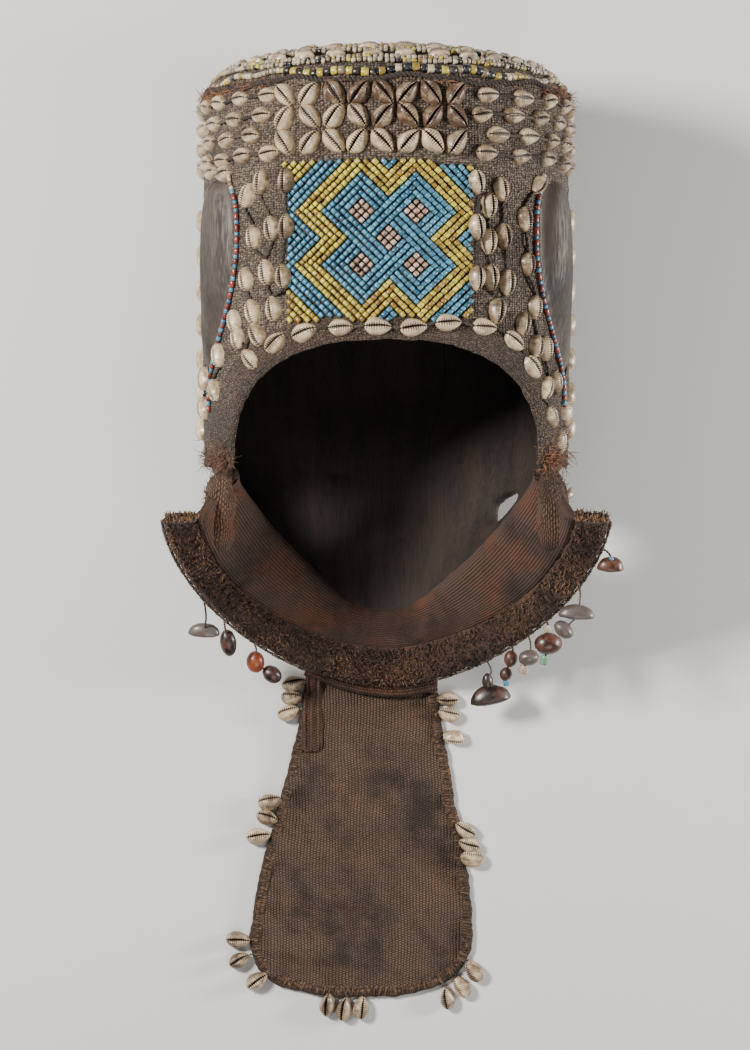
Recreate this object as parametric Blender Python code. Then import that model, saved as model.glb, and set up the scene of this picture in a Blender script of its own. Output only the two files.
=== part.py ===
"""Kuba bwoom helmet mask, lying face down with its crown toward +Y and its back up.

A carved wooden helmet carries a raffia cap sewn with cowries, a beaded panel and a crown cover.
A woven neck cloth is bound to the helmet's lower rim and carries the beard: a U-shaped collar,
seed pendants on its outer edge, and a long bell-shaped panel with cowries along its edges.
"""
import math

import bpy
import bmesh
from mathutils import Matrix, Vector

# Driving dimensions in metres: x across, y along the mask from the eyes, z up from the floor
MASK_SHIFT = (-0.0048, 0.0165, 0.0)

# Helmet: cross-section sizes along the mask, as (y, size) stops
SECTION_POWER = 2.05
AXIS_Z = 0.134
BACK_Z = 0.258
HALF_WIDTH = ((-0.090, 0.050), (-0.063, 0.062), (-0.045, 0.069), (-0.015, 0.087), (0.009, 0.103),
              (0.036, 0.124), (0.060, 0.128), (0.306, 0.128))
FRONT_Z = ((-0.090, 0.060), (-0.070, 0.024), (-0.050, 0.017), (0.0, 0.022), (0.030, 0.027),
           (0.060, 0.024), (0.100, 0.008), (0.150, -0.002), (0.215, -0.002), (0.250, 0.012),
           (0.306, 0.016))
WALL = 0.011
RIM_Y = 0.306
HEAD_ROWS = (-0.085, -0.068, -0.050, -0.030, -0.008, 0.014, 0.035, 0.060, 0.100, 0.150, 0.215,
             0.250, RIM_Y)
DOME_RISE = 0.030
COVER_EDGE_STEP = 18
DOME_STEPS = (26, 52, 78)
HEAD_SIDES = 32
HOLLOW_SIDES = 20

# The lower rim lies in one slanting plane, from under the chin to the sides of the arch
RIM_PLANE_Y = -0.063
RIM_PLANE_Z = 0.035
RIM_SLOPE = 0.70
RIM_SIDE_Z = 0.176

# Arched opening in the back
ARCH_HALF_WIDTH = 0.108
ARCH_FOOT_Y = 0.040
ARCH_RISE = 0.088
ARCH_POWER = 2.6

# Ears, bare lobes of wood at both sides; their back edge as a turn from the middle of the back
EAR_TOP_Y = 0.241
EAR_FOOT_Y = 0.100
EAR_OUT_X = 0.132
EAR_FRONT_TURN = 86
EAR_BACK_TURN = ((0.098, 74.0), (0.115, 69.5), (0.135, 63.5), (0.160, 57.5), (0.185, 54.5),
                 (0.205, 54.0), (0.225, 55.0), (0.242, 58.5))

# Cloth and what is sewn on it
GAP = 0.0003
CLOTH = 0.003
CAP_FOOT_Y = 0.044
CAP_ROWS = (CAP_FOOT_Y, *(y for y in HEAD_ROWS if y > CAP_FOOT_Y))
CAP_FRONT_Z = 0.106
CAP_BAND_Y = 0.258
COWRIE = (0.0190, 0.0125, 0.0080)
FLOWER_TURN = 7.25
CROWN_COWRIES = 9
CROWN_COWRIE_SHARE = 0.62

# Beard: fold and outer edge of the collar as half superellipses, then the hanging panel
FOLD = {"half_width": 0.132, "top": (0.006, 0.190), "bottom": (-0.091, 0.025), "power": 1.8}
EDGE = {"half_width": 0.156, "top": (0.004, 0.188), "bottom": (-0.121, 0.0155), "power": 1.72}
COLLAR_THICKNESS = 0.009
PANEL_TOP_Y = -0.112
PANEL_FOOT_Y = -0.357
PANEL_TOP_HALF = 0.0485
PANEL_FOOT_HALF = 0.0834
PANEL_WIDEST_Y = -0.310
PANEL_MIDDLE_X = (-0.010, -0.020)
PANEL_THICKNESS = 0.0065


def clear_scene():
    for thing in list(bpy.data.objects):
        bpy.data.objects.remove(thing, do_unlink=True)


def new_collection(name):
    collection = bpy.data.collections.new(name)
    bpy.context.scene.collection.children.link(collection)
    return collection


def paint(name, colour, roughness, metallic=0.0):
    """A Principled material of one plain colour."""
    material = bpy.data.materials.new(name)
    material.use_nodes = True
    surface = material.node_tree.nodes["Principled BSDF"]
    surface.inputs["Base Color"].default_value = (*colour, 1.0)
    surface.inputs["Roughness"].default_value = roughness
    surface.inputs["Metallic"].default_value = metallic
    return material


def follow(stops, position):
    """Size at a position along (position, size) stops, on a smooth curve through them."""
    if position <= stops[0][0]:
        return stops[0][1]
    if position >= stops[-1][0]:
        return stops[-1][1]
    index = next(i for i in range(1, len(stops)) if position <= stops[i][0]) - 1
    (p0, s0), (p1, s1) = stops[index], stops[index + 1]
    before, after = stops[max(index - 1, 0)], stops[min(index + 2, len(stops) - 1)]
    step = p1 - p0
    slope0 = (s1 - before[1]) / (p1 - before[0]) * step
    slope1 = (after[1] - s0) / (after[0] - p0) * step
    t = (position - p0) / step
    return ((2 * t ** 3 - 3 * t ** 2 + 1) * s0 + (t ** 3 - 2 * t ** 2 + t) * slope0
            + (3 * t ** 2 - 2 * t ** 3) * s1 + (t ** 3 - t ** 2) * slope1)


def signed_power(value, power):
    return math.copysign(abs(value) ** power, value)


def head_point(turn, y, offset=0.0):
    """Point on the head at a turn in degrees from the middle of its back, plus an offset out."""
    angle = math.radians(turn)
    half_width = follow(HALF_WIDTH, y) + offset
    front_z = follow(FRONT_Z, y)
    depth = (BACK_Z - AXIS_Z if math.cos(angle) > 0 else AXIS_Z - front_z) + offset
    x = half_width * signed_power(math.sin(angle), 2 / SECTION_POWER)
    z = AXIS_Z + depth * signed_power(math.cos(angle), 2 / SECTION_POWER)
    return Vector((x, y, z))


def head_normal(turn, y, offset=0.0):
    across = head_point(turn + 1, y, offset) - head_point(turn - 1, y, offset)
    along = head_point(turn, y + 0.002, offset) - head_point(turn, y - 0.002, offset)
    return across.cross(along).normalized()


def add_mesh(name, points, faces, collection, material=None):
    """Object from points and faces, its faces turned to point out."""
    mesh = bpy.data.meshes.new(name)
    mesh.from_pydata([tuple(point) for point in points], [], faces)
    work = bmesh.new()
    work.from_mesh(mesh)
    bmesh.ops.recalc_face_normals(work, faces=work.faces)
    work.to_mesh(mesh)
    work.free()
    if material:
        mesh.materials.append(material)
    thing = bpy.data.objects.new(name, mesh)
    collection.objects.link(thing)
    return thing


def loft(name, rings, collection, material=None):
    """Closed skin through rings of equal count, capped at both ends."""
    count = len(rings[0])
    faces = []
    for row in range(len(rings) - 1):
        for j in range(count):
            k = (j + 1) % count
            faces.append((row * count + j, row * count + k,
                          (row + 1) * count + k, (row + 1) * count + j))
    last = (len(rings) - 1) * count
    faces.append(tuple(range(count)))
    faces.append(tuple(range(last, last + count)))
    return add_mesh(name, [point for ring in rings for point in ring], faces, collection, material)


def as_mesh(thing):
    """Freeze an object's modifiers into a plain mesh object of the same name."""
    bpy.context.view_layer.update()
    seen = thing.evaluated_get(bpy.context.evaluated_depsgraph_get())
    mesh = bpy.data.meshes.new_from_object(seen)
    name = thing.name
    home = thing.users_collection[0]
    place = thing.matrix_world.copy()
    bpy.data.objects.remove(thing, do_unlink=True)
    frozen = bpy.data.objects.new(name, mesh)
    frozen.matrix_world = place
    home.objects.link(frozen)
    return frozen


def boolean(target, tool, operation):
    modifier = target.modifiers.new(f"{operation.lower()} {tool.name}", "BOOLEAN")
    modifier.operation = operation
    modifier.object = tool
    modifier.solver = "EXACT"


def fuse(name, pieces):
    """Join touching pieces into one closed body."""
    body = pieces[0]
    for piece in pieces[1:]:
        boolean(body, piece, "UNION")
        body = as_mesh(body)
        bpy.data.objects.remove(piece, do_unlink=True)
    body.name = name
    return body


def head_form(name, offset, rows, sides, dome_rise, collection, material=None):
    """Solid of the head's outer shape at an offset, along its rows, with a low dome or none."""
    rings = [[head_point(360 * j / sides, y, offset) for j in range(sides)] for y in rows]
    if dome_rise:
        middle_z = (BACK_Z + follow(FRONT_Z, RIM_Y)) / 2
        for step in DOME_STEPS:
            share = math.cos(math.radians(step))
            y = RIM_Y + dome_rise * math.sin(math.radians(step))
            rings.append([Vector((p.x * share, y, middle_z + (p.z - middle_z) * share))
                          for p in rings[len(rows) - 1]])
    return loft(name, rings, collection, material)


def rim_plane_y(z):
    return RIM_PLANE_Y + RIM_SLOPE * (z - RIM_PLANE_Z)


def rim_point(turn, offset):
    """Where the head's surface at an offset meets the slanting plane of the lower rim."""
    low, high = -0.090, 0.100
    for _ in range(40):
        y = (low + high) / 2
        if rim_plane_y(head_point(turn, y, offset).z) > y:
            low = y
        else:
            high = y
    return head_point(turn, y, offset)


def slant_cutter(collection):
    """Everything past the plane of the lower rim."""
    rings = []
    for x in (-0.2, 0.2):
        rings.append([(x, rim_plane_y(-0.1), -0.1), (x, rim_plane_y(0.3), 0.3),
                      (x, -0.30, 0.3), (x, -0.30, -0.1)])
    return loft("lower_rim_cutter", rings, collection)


def arch_outline(grow=0.0, steps=20):
    """Arch seen from behind, as (x, y) from its left foot over the top to its right foot."""
    points = [(-ARCH_HALF_WIDTH - grow, -0.05)]
    for step in range(steps + 1):
        angle = math.pi * (1 - step / steps)
        x = (ARCH_HALF_WIDTH + grow) * signed_power(math.cos(angle), 2 / ARCH_POWER)
        y = ARCH_FOOT_Y + (ARCH_RISE + grow) * abs(math.sin(angle)) ** (2 / ARCH_POWER)
        points.append((x, y))
    points.append((ARCH_HALF_WIDTH + grow, -0.05))
    return points


def arch_cutter(grow, collection):
    outline = arch_outline(grow)
    rings = [[(x, y, z) for x, y in outline] for z in (0.150, 0.300)]
    return loft("arch_cutter", rings, collection)


def ear_form(side, grow, name, collection):
    """Lobe that swells out of the head, with a rounded back edge and a foot drawn out thin."""
    rings = []
    middle_y = (EAR_TOP_Y + EAR_FOOT_Y) / 2
    half = (EAR_TOP_Y - EAR_FOOT_Y) / 2 + grow
    for step in range(9):
        share = math.sin(math.pi / 2 * (step / 4 - 1))
        y = middle_y + half * share
        swell = (1 - abs(share) ** 3.2) ** 0.6
        back_turn = follow(EAR_BACK_TURN, y) - 600 * grow
        front_turn = EAR_FRONT_TURN + 600 * grow
        back = head_point(back_turn, y, -0.005)
        front = head_point(front_turn, y, -0.005)
        skin = head_point(front_turn, y, 0.0).x - 0.003 + 6 * grow
        out_x = skin + (EAR_OUT_X - skin + grow) * swell
        lip_z = head_point(back_turn, y, 0.0).z - 0.005 + grow
        bevel = 0.013 * swell + 0.001
        section = [(back.x, back.z), (out_x - bevel, lip_z), (out_x - 0.25 * bevel, lip_z - 0.008),
                   (out_x, lip_z - 0.018), (out_x, front.z + 0.004), (front.x, front.z)]
        rings.append([(side * x, y, z) for x, z in section])
    return loft(name, rings, collection)


def ball(name, place, radii, sides, rows, collection, turn=None):
    """Faceted ellipsoid."""
    work = bmesh.new()
    bmesh.ops.create_uvsphere(work, u_segments=sides, v_segments=rows, radius=1.0)
    matrix = Matrix.Translation(Vector(place)) @ (turn or Matrix.Identity(4)) @ Matrix.Diagonal(
        (*radii, 1.0))
    bmesh.ops.transform(work, matrix=matrix, verts=work.verts)
    mesh = bpy.data.meshes.new(name)
    work.to_mesh(mesh)
    work.free()
    thing = bpy.data.objects.new(name, mesh)
    collection.objects.link(thing)
    return thing


def tube(name, points, radii, sides, collection, material=None):
    """Closed tube along points, each with its own radius."""
    rings = []
    side = Vector((0.0, 0.0, 1.0))
    for index, point in enumerate(points):
        ahead = Vector(points[min(index + 1, len(points) - 1)])
        behind = Vector(points[max(index - 1, 0)])
        along = (ahead - behind).normalized()
        side = (side - along * side.dot(along)).normalized()
        other = along.cross(side)
        radius = radii[index]
        rings.append([Vector(point) + radius * (side * math.cos(2 * math.pi * j / sides)
                                                + other * math.sin(2 * math.pi * j / sides))
                      for j in range(sides)])
    return loft(name, rings, collection, material)


def wooden_helmet(part, cutters):
    wood = paint("dark_wood", (0.060, 0.042, 0.032), 0.55)
    helmet = head_form("wooden_helmet", 0.0, HEAD_ROWS, HEAD_SIDES, DOME_RISE, part, wood)
    tools = [(head_form("hollow_cutter", -WALL, HEAD_ROWS[1::2], HOLLOW_SIDES, DOME_RISE * 0.5,
                        cutters), "DIFFERENCE")]
    for side, word in ((-1, "left"), (1, "right")):
        tools.append((ear_form(side, 0.0, f"{word}_ear_former", cutters), "UNION"))
    tools.append((nose_former(cutters), "UNION"))
    for y, rise, word in ((-0.031, 0.0050, "upper"), (-0.0405, 0.0060, "lower")):
        tools.append((ball(f"{word}_lip_former", (0, y, 0.0195), (0.027, rise, 0.0105), 10, 4,
                           cutters), "UNION"))
    for side, word in ((-1, "left"), (1, "right")):
        tools.append((brow_former(side, f"{word}_brow_former", cutters), "UNION"))
        tools.append((ball(f"{word}_eye_former", (side * 0.036, 0.038, 0.030),
                           (0.021, 0.0100, 0.012), 10, 4, cutters), "UNION"))
    tools.append((slant_cutter(cutters), "DIFFERENCE"))
    tools.append((arch_cutter(0.0, cutters), "DIFFERENCE"))
    for side, word in ((-1, "left"), (1, "right")):
        tools.append((eye_cutter(side, f"{word}_eye_cutter", cutters), "DIFFERENCE"))
    tools.append((side_hole_cutter(cutters), "DIFFERENCE"))
    tools.append((floor_cutter(cutters), "DIFFERENCE"))
    for tool, operation in tools:
        boolean(helmet, tool, operation)


def nose_former(collection):
    """Plain wedge, wide at the wings and narrow at the bridge."""
    rings = []
    for y, half, top, tip in ((0.050, 0.006, 0.034, 0.022), (0.020, 0.008, 0.034, 0.013),
                              (0.000, 0.015, 0.034, 0.0045), (-0.009, 0.017, 0.034, 0.0060),
                              (-0.013, 0.013, 0.034, 0.013)):
        rings.append([(-half, y, top), (-half, y, tip + 0.008), (-half * 0.45, y, tip),
                      (half * 0.45, y, tip), (half, y, tip + 0.008), (half, y, top)])
    return loft("nose_former", rings, collection)


def brow_former(side, name, collection):
    points = []
    radii = []
    for step in range(9):
        share = step / 8
        turn = 180 - side * (6 + 34 * share)
        y = 0.056 + 0.012 * math.sin(math.pi * share)
        points.append(head_point(turn, y, -0.001))
        radii.append(0.0045 * (1 - 0.55 * abs(2 * share - 1) ** 2))
    return tube(name, points, radii, 6, collection)


def eye_cutter(side, name, collection):
    """Narrow slit through the lid and the wall."""
    rings = []
    for z in (0.005, 0.060):
        rings.append([(side * 0.036 + 0.0125 * math.cos(math.radians(a)),
                       0.038 + 0.0030 * math.sin(math.radians(a)), z) for a in range(0, 360, 36)])
    return loft(name, rings, collection)


def side_hole_cutter(collection):
    """Worn hole through the right wall, beside the cheek."""
    rings = []
    for x in (0.060, 0.130):
        rings.append([(x, 0.0125 + 0.0115 * math.cos(math.radians(a)),
                       0.085 + 0.0150 * math.sin(math.radians(a))) for a in range(0, 360, 36)])
    return loft("side_hole_cutter", rings, collection)


def floor_cutter(collection):
    """Levels the forehead, so that the mask lies still."""
    rings = [[(-0.2, y, -0.05), (0.2, y, -0.05), (0.2, y, 0.0), (-0.2, y, 0.0)]
             for y in (-0.1, 0.4)]
    return loft("floor_cutter", rings, collection)


def cowrie_shape(base):
    """Corner points of one cowrie lying on cloth, few-sided: long axis x, its opening up."""
    length, width, height = COWRIE
    points = [(0, side * width / 2, base) for side in (-1, 1)]
    for end in (-1, 1):
        points += [(end * length / 2, 0, base), (end * length * 0.26, 0, height)]
    return points


def hull(name, points, collection, material=None):
    work = bmesh.new()
    for point in points:
        work.verts.new(point)
    result = bmesh.ops.convex_hull(work, input=work.verts)
    spare = [item for item in result["geom_interior"] if isinstance(item, bmesh.types.BMVert)]
    bmesh.ops.delete(work, geom=spare, context="VERTS")
    bmesh.ops.recalc_face_normals(work, faces=work.faces)
    mesh = bpy.data.meshes.new(name)
    work.to_mesh(mesh)
    work.free()
    if material:
        mesh.materials.append(material)
    thing = bpy.data.objects.new(name, mesh)
    collection.objects.link(thing)
    return thing


def sewn_cowrie(name, spot, offset, shape, collection, material=None):
    """Cowrie on the head at (turn, y, tilt); tilt is its long axis from across, in degrees."""
    turn, y, tilt = spot
    out = head_normal(turn, y, offset)
    across = (head_point(turn + 1, y, offset) - head_point(turn - 1, y, offset)).normalized()
    up = out.cross(across).normalized()
    angle = math.radians(tilt)
    length_axis = across * math.cos(angle) + up * math.sin(angle)
    width_axis = out.cross(length_axis)
    place = head_point(turn, y, offset)
    points = [place + length_axis * px + width_axis * py + out * pz for px, py, pz in shape]
    return hull(name, points, collection, material)


def cap_cowries():
    """Turn, y and tilt of the cowries that are sewn to the cap, row by row."""
    places = []
    for side in (-1, 1):
        for row in range(4):
            first = 41 if row % 2 == 0 else 47
            places += [(side * (first + 13.5 * k), 0.2985 - 0.0138 * row, 0) for k in range(3)]
        for turn, y_first in ((34.5, 0.236), (47, 0.226)):
            places += [(side * turn, y_first - 0.034 * k, 90 + side * 6) for k in range(3)]
        for turn, y in ((50, 0.117), (69, 0.080)):
            places.append((side * turn, y, 90 - side * 14))
    for row in range(3):
        for column in range(8):
            tilt = -46 if (row + column) % 2 == 0 else 46
            places.append(((column - 3.5) * FLOWER_TURN - 1.8, 0.2975 - 0.0168 * row, tilt))
    for k in range(8):
        turn = -40 + 80 * k / 7
        places.append((turn, 0.1355 - 0.008 * (turn / 40) ** 4, -turn * 0.25))
    return places


def raffia_cap(part, cutters):
    raffia = paint("raffia_cloth", (0.19, 0.145, 0.11), 0.9)
    cap = head_form("raffia_cap", GAP + CLOTH, CAP_ROWS, HEAD_SIDES, 0.0, part, raffia)
    lining_rows = (CAP_ROWS[0] - 0.01, *CAP_ROWS[1:-1], RIM_Y + 0.01)
    lining = head_form("cap_lining_cutter", GAP, lining_rows, HEAD_SIDES, 0.0, cutters)
    tools = [(lining, "DIFFERENCE")]
    rings = [[(x, 0.2, CAP_FRONT_Z), (x, CAP_BAND_Y, CAP_FRONT_Z), (x, CAP_BAND_Y, -0.05),
              (x, 0.0, -0.05), (x, 0.0, CAP_FRONT_Z)] for x in (-0.2, 0.2)]
    tools.append((loft("cap_front_cutter", rings, cutters), "DIFFERENCE"))
    tools.append((arch_cutter(0.0015, cutters), "DIFFERENCE"))
    for side, word in ((-1, "left"), (1, "right")):
        tools.append((ear_form(side, 0.0015, f"{word}_ear_cutter", cutters), "DIFFERENCE"))
    shape = cowrie_shape(-0.0012)
    gems = [sewn_cowrie(f"cowrie_former_{k}", spot, GAP + CLOTH, shape, cutters)
            for k, spot in enumerate(cap_cowries())]
    tools.append((join("cap_cowrie_formers", gems), "UNION"))
    for tool, operation in tools:
        boolean(cap, tool, operation)


def join(name, things):
    """Put several meshes into one object, still as loose bodies."""
    work = bmesh.new()
    for thing in things:
        work.from_mesh(thing.data)
    mesh = bpy.data.meshes.new(name)
    work.to_mesh(mesh)
    work.free()
    home = things[0].users_collection[0]
    for thing in things:
        bpy.data.objects.remove(thing, do_unlink=True)
    joined = bpy.data.objects.new(name, mesh)
    home.objects.link(joined)
    return joined


def crown_cover(part, cutters):
    """Low dome of bead strings over the wooden crown, with cowries laid in a ring."""
    beads = paint("pale_beads", (0.62, 0.58, 0.46), 0.4)
    middle_z = (BACK_Z + follow(FRONT_Z, RIM_Y)) / 2
    sides = 24

    def dome_ring(step, lift):
        share = math.cos(math.radians(step))
        y = RIM_Y + lift + DOME_RISE * math.sin(math.radians(step))
        ring = [head_point(360 * j / sides, RIM_Y) for j in range(sides)]
        return [Vector((p.x * share, y, middle_z + (p.z - middle_z) * share)) for p in ring]

    rings = [dome_ring(step, 0.0022) for step in (88, 64, 38, COVER_EDGE_STEP)]
    for row, step in enumerate((COVER_EDGE_STEP, 30, 42, 54, 66, 78)):
        rings.append(dome_ring(step, 0.0062 if row % 2 else 0.0078))
    cover = loft("crown_cover", rings, part, beads)
    gems = []
    for k in range(CROWN_COWRIES):
        turn = 360 * (k + 0.5) / CROWN_COWRIES
        rim = head_point(turn, RIM_Y)
        share = CROWN_COWRIE_SHARE
        place = Vector((rim.x * share, RIM_Y + DOME_RISE, middle_z + (rim.z - middle_z) * share))
        length_axis = (head_point(turn + 2, RIM_Y) - head_point(turn - 2, RIM_Y)).normalized()
        width_axis = Vector((0, 1, 0)).cross(length_axis)
        points = [place + length_axis * px + width_axis * py + Vector((0, pz, 0))
                  for px, py, pz in cowrie_shape(-0.003)]
        gems.append(hull(f"crown_cowrie_former_{k}", points, cutters))
    boolean(cover, join("crown_cowrie_formers", gems), "UNION")


def crown_bead_rope(part):
    """Thick beads strung round the crown's rim."""
    beads = paint("rope_beads", (0.42, 0.38, 0.20), 0.35)
    count = 27
    sides = 5
    rings = []
    for k in range(2 * count):
        turn = 360 * k / (2 * count)
        swell = 0.0036 if k % 2 else 0.0030
        middle = head_point(turn, RIM_Y, 0.0)
        out = head_normal(turn, RIM_Y - 0.01)
        middle = middle + out * 0.0004 + Vector((0, 0.0055, 0))
        rings.append([middle + swell * (out * math.cos(2 * math.pi * j / sides)
                                        + Vector((0, 1, 0)) * math.sin(2 * math.pi * j / sides))
                      for j in range(sides)])
    faces = []
    for row in range(len(rings)):
        ahead = (row + 1) % len(rings)
        for j in range(sides):
            k = (j + 1) % sides
            faces.append((row * sides + j, row * sides + k, ahead * sides + k, ahead * sides + j))
    return add_mesh("crown_bead_rope", [p for ring in rings for p in ring], faces, part, beads)


def head_patch(name, turns, ys, under, thick, part, material):
    """Plate of even thickness over a patch of the head, or over the cloth on it."""
    rings = []
    for y in ys:
        low = [head_point(turn, y, under) for turn in turns]
        high = [head_point(turn, y, under + thick) for turn in reversed(turns)]
        rings.append(low + high)
    return loft(name, rings, part, material)


def bead_panel(part):
    blue = paint("blue_and_yellow_beads", (0.10, 0.30, 0.42), 0.35)
    turns = [-30.5 + 59 * k / 8 for k in range(9)]
    ys = [0.250 - 0.1035 * k / 3 for k in range(4)]
    head_patch("bead_panel", turns, ys, 2 * GAP + CLOTH, 0.0034, part, blue)


def ear_bead_string(side, word, part):
    """Red and blue beads strung along the inner edge of an ear."""
    beads = paint(f"{word}_ear_beads", (0.35, 0.06, 0.05), 0.35)
    points = []
    radii = []
    for k in range(21):
        y = EAR_FOOT_Y + (EAR_TOP_Y - EAR_FOOT_Y) * k / 20
        turn = follow(EAR_BACK_TURN, y) - 3.0
        points.append(head_point(side * turn, y, 2 * GAP + CLOTH + 0.0024))
        radii.append(0.0022 if k % 2 else 0.0017)
    return tube(f"{word}_ear_bead_string", points, radii, 4, part, beads)


def u_point(curve, angle):
    """Point on one of the beard's U-shaped lines; angle 0 is the bottom, +-90 the ends."""
    turn = math.radians(angle)
    top_y, top_z = curve["top"]
    bottom_y, bottom_z = curve["bottom"]
    x = curve["half_width"] * signed_power(math.sin(turn), 2 / curve["power"])
    share = abs(math.cos(turn)) ** (2 / curve["power"])
    return Vector((x, top_y + (bottom_y - top_y) * share, top_z + (bottom_z - top_z) * share))


def u_angles(count):
    return [-90 + 180 * k / (count - 1) for k in range(count)]


def rim_turn(angle):
    """Turn round the head that goes with an angle round the beard."""
    low, high = 50.0, 179.0
    for _ in range(30):
        middle = (low + high) / 2
        if rim_point(middle, -WALL).z > RIM_SIDE_Z:
            low = middle
        else:
            high = middle
    return 180 - angle / 90 * (180 - low)


def beard_frame(angle):
    """Fold, edge, and the directions out and up of the collar at an angle round the beard."""
    fold = u_point(FOLD, angle)
    edge = u_point(EDGE, angle)
    out = (edge - fold).normalized()
    ahead = u_point(EDGE, min(angle + 1, 90)) - u_point(EDGE, max(angle - 1, -90))
    up = out.cross(ahead).normalized()
    return fold, edge, out, up if up.z > 0 else -up


def neck_cloth(part):
    """Woven cloth bound over the helmet's lower rim and drawn out to the beard's fold."""
    cloth = paint("neck_raffia", (0.20, 0.085, 0.050), 0.9)
    away = Vector((0, -1, RIM_SLOPE)).normalized()
    rings = []
    for angle in u_angles(25):
        inner = rim_point(rim_turn(angle), -WALL)
        outer = rim_point(rim_turn(angle), 0.0)
        fold, _, _, up = beard_frame(angle)
        rings.append([inner + away * GAP, inner + away * 0.0035 + (inner - outer) * 0.05,
                      inner.lerp(fold, 0.5) + away * 0.0060, fold + up * 0.0028,
                      fold - up * 0.0018, outer.lerp(fold, 0.5) + away * 0.0012,
                      outer + away * GAP])
    return loft("neck_cloth", rings, part, cloth)


def beard_collar(part):
    """Thick pile-faced band round the jaw, its bead-edged rim outside."""
    pile = paint("collar_pile", (0.13, 0.070, 0.045), 0.95)
    half = COLLAR_THICKNESS / 2
    rings = []
    for angle in u_angles(25):
        fold, edge, out, up = beard_frame(angle)
        start = fold + out * 0.0006
        rings.append([start - up * half * 0.75, start + up * half * 0.75,
                      start.lerp(edge, 0.5) + up * half, edge + up * half * 0.8 - out * 0.002,
                      edge + out * 0.0015, edge - up * half * 0.8 - out * 0.002])
    return loft("beard_collar", rings, part, pile)


def panel_half_width(y):
    share = min(max((PANEL_TOP_Y - y) / (PANEL_TOP_Y - PANEL_WIDEST_Y), 0.0), 1.0)
    bell = 0.65 * share * share * (3 - 2 * share) + 0.35 * share
    half = PANEL_TOP_HALF + (PANEL_FOOT_HALF - PANEL_TOP_HALF) * bell
    if y < PANEL_WIDEST_Y:
        past = (PANEL_WIDEST_Y - y) / (PANEL_WIDEST_Y - PANEL_FOOT_Y)
        half *= (1 - past ** 2.6) ** (1 / 2.6)
    return half


def panel_middle_x(y):
    share = (PANEL_TOP_Y - y) / (PANEL_TOP_Y - PANEL_FOOT_Y)
    return PANEL_MIDDLE_X[0] + (PANEL_MIDDLE_X[1] - PANEL_MIDDLE_X[0]) * share


def beard_panel(part):
    """Flat bell-shaped beard of coarse raffia cloth, a little thicker along its hems."""
    raffia = paint("beard_raffia", (0.15, 0.080, 0.050), 0.92)
    shares = [k / 12 for k in range(12)] + [0.955, 0.985, 0.998]
    ys = [PANEL_TOP_Y + (PANEL_FOOT_Y - PANEL_TOP_Y) * share for share in shares]
    rings = []
    for y in ys:
        half = panel_half_width(y)
        x = panel_middle_x(y)
        hem = min(0.006, half * 0.4)
        high = PANEL_THICKNESS
        rings.append([(x - half, y, 0.0), (x + half, y, 0.0), (x + half, y, high),
                      (x + half - hem, y, high), (x + half - hem - 0.001, y, high - 0.001),
                      (x - half + hem + 0.001, y, high - 0.001), (x - half + hem, y, high),
                      (x - half, y, high)])
    return loft("beard_panel", rings, part, raffia)


# Cowries along the beard's edges: name, then middle x, y and heading of each
EDGE_COWRIE_Z = 0.0045
EDGE_COWRIES = (
    ("upper_left", ((-0.0694, -0.1205, 4), (-0.0709, -0.1315, -8), (-0.0732, -0.1430, 10))),
    ("upper_right", ((0.0470, -0.1320, 172), (0.0480, -0.1440, 165), (0.0520, -0.1600, 178))),
    ("middle_left", ((-0.0875, -0.2106, 8), (-0.0898, -0.2220, -6), (-0.0963, -0.2360, 0))),
    ("middle_right", ((0.0602, -0.2310, 150), (0.0632, -0.2424, 165), (0.0655, -0.2538, 180))),
    ("lower_left", ((-0.1118, -0.3144, 0), (-0.1110, -0.3300, 16), (-0.0974, -0.3455, 40))),
    ("foot", ((-0.0436, -0.3636, 80), (-0.0310, -0.3670, 96), (-0.0186, -0.3659, 84))),
    ("lower_right", ((0.0678, -0.3379, 125), (0.0587, -0.3500, 112), (0.0473, -0.3590, 100))),
)


def loose_cowrie_points(x, y, heading):
    """Corners of a whole cowrie lying beside the beard, slid out until it clears the hem."""
    length, width, height = COWRIE
    corners = [(end * length / 2, 0, 0) for end in (-1, 1)]
    corners += [(0, side * width / 2, 0) for side in (-1, 1)]
    corners += [(end * length * 0.22, 0, side * height / 2) for end in (-1, 1) for side in (-1, 1)]
    turn = Matrix.Rotation(math.radians(heading), 3, "Z")
    corners = [turn @ Vector(corner) for corner in corners]
    place = Vector((x, y, EDGE_COWRIE_Z))
    out = Vector((x - panel_middle_x(y), min(y - PANEL_WIDEST_Y, 0.0), 0.0)).normalized()
    while any(on_panel(place + corner) for corner in corners):
        place += out * 0.0005
    return place, [place + corner for corner in corners]


def on_panel(point):
    if point.y < PANEL_FOOT_Y - 2 * GAP:
        return False
    y = max(point.y, PANEL_FOOT_Y + 0.0005)
    return abs(point.x - panel_middle_x(y)) < panel_half_width(y) + 2 * GAP


def edge_cowries(part):
    """Groups of cowries, tied to each other by raffia knots and sewn to the beard's hem."""
    shell = paint("edge_cowrie_shell", (0.70, 0.62, 0.50), 0.35)
    for name, group in EDGE_COWRIES:
        body = []
        middles = []
        for k, spot in enumerate(group):
            middle, corners = loose_cowrie_points(*spot)
            middles.append(middle)
            body.append(hull(f"{name}_cowrie_{k}", corners, part, shell))
        for here, there in zip(middles, middles[1:]):
            body.append(tube(f"{name}_knot", (here, there), (0.0016, 0.0016), 3, part))
        fuse(f"{name}_edge_cowries", body)


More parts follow.
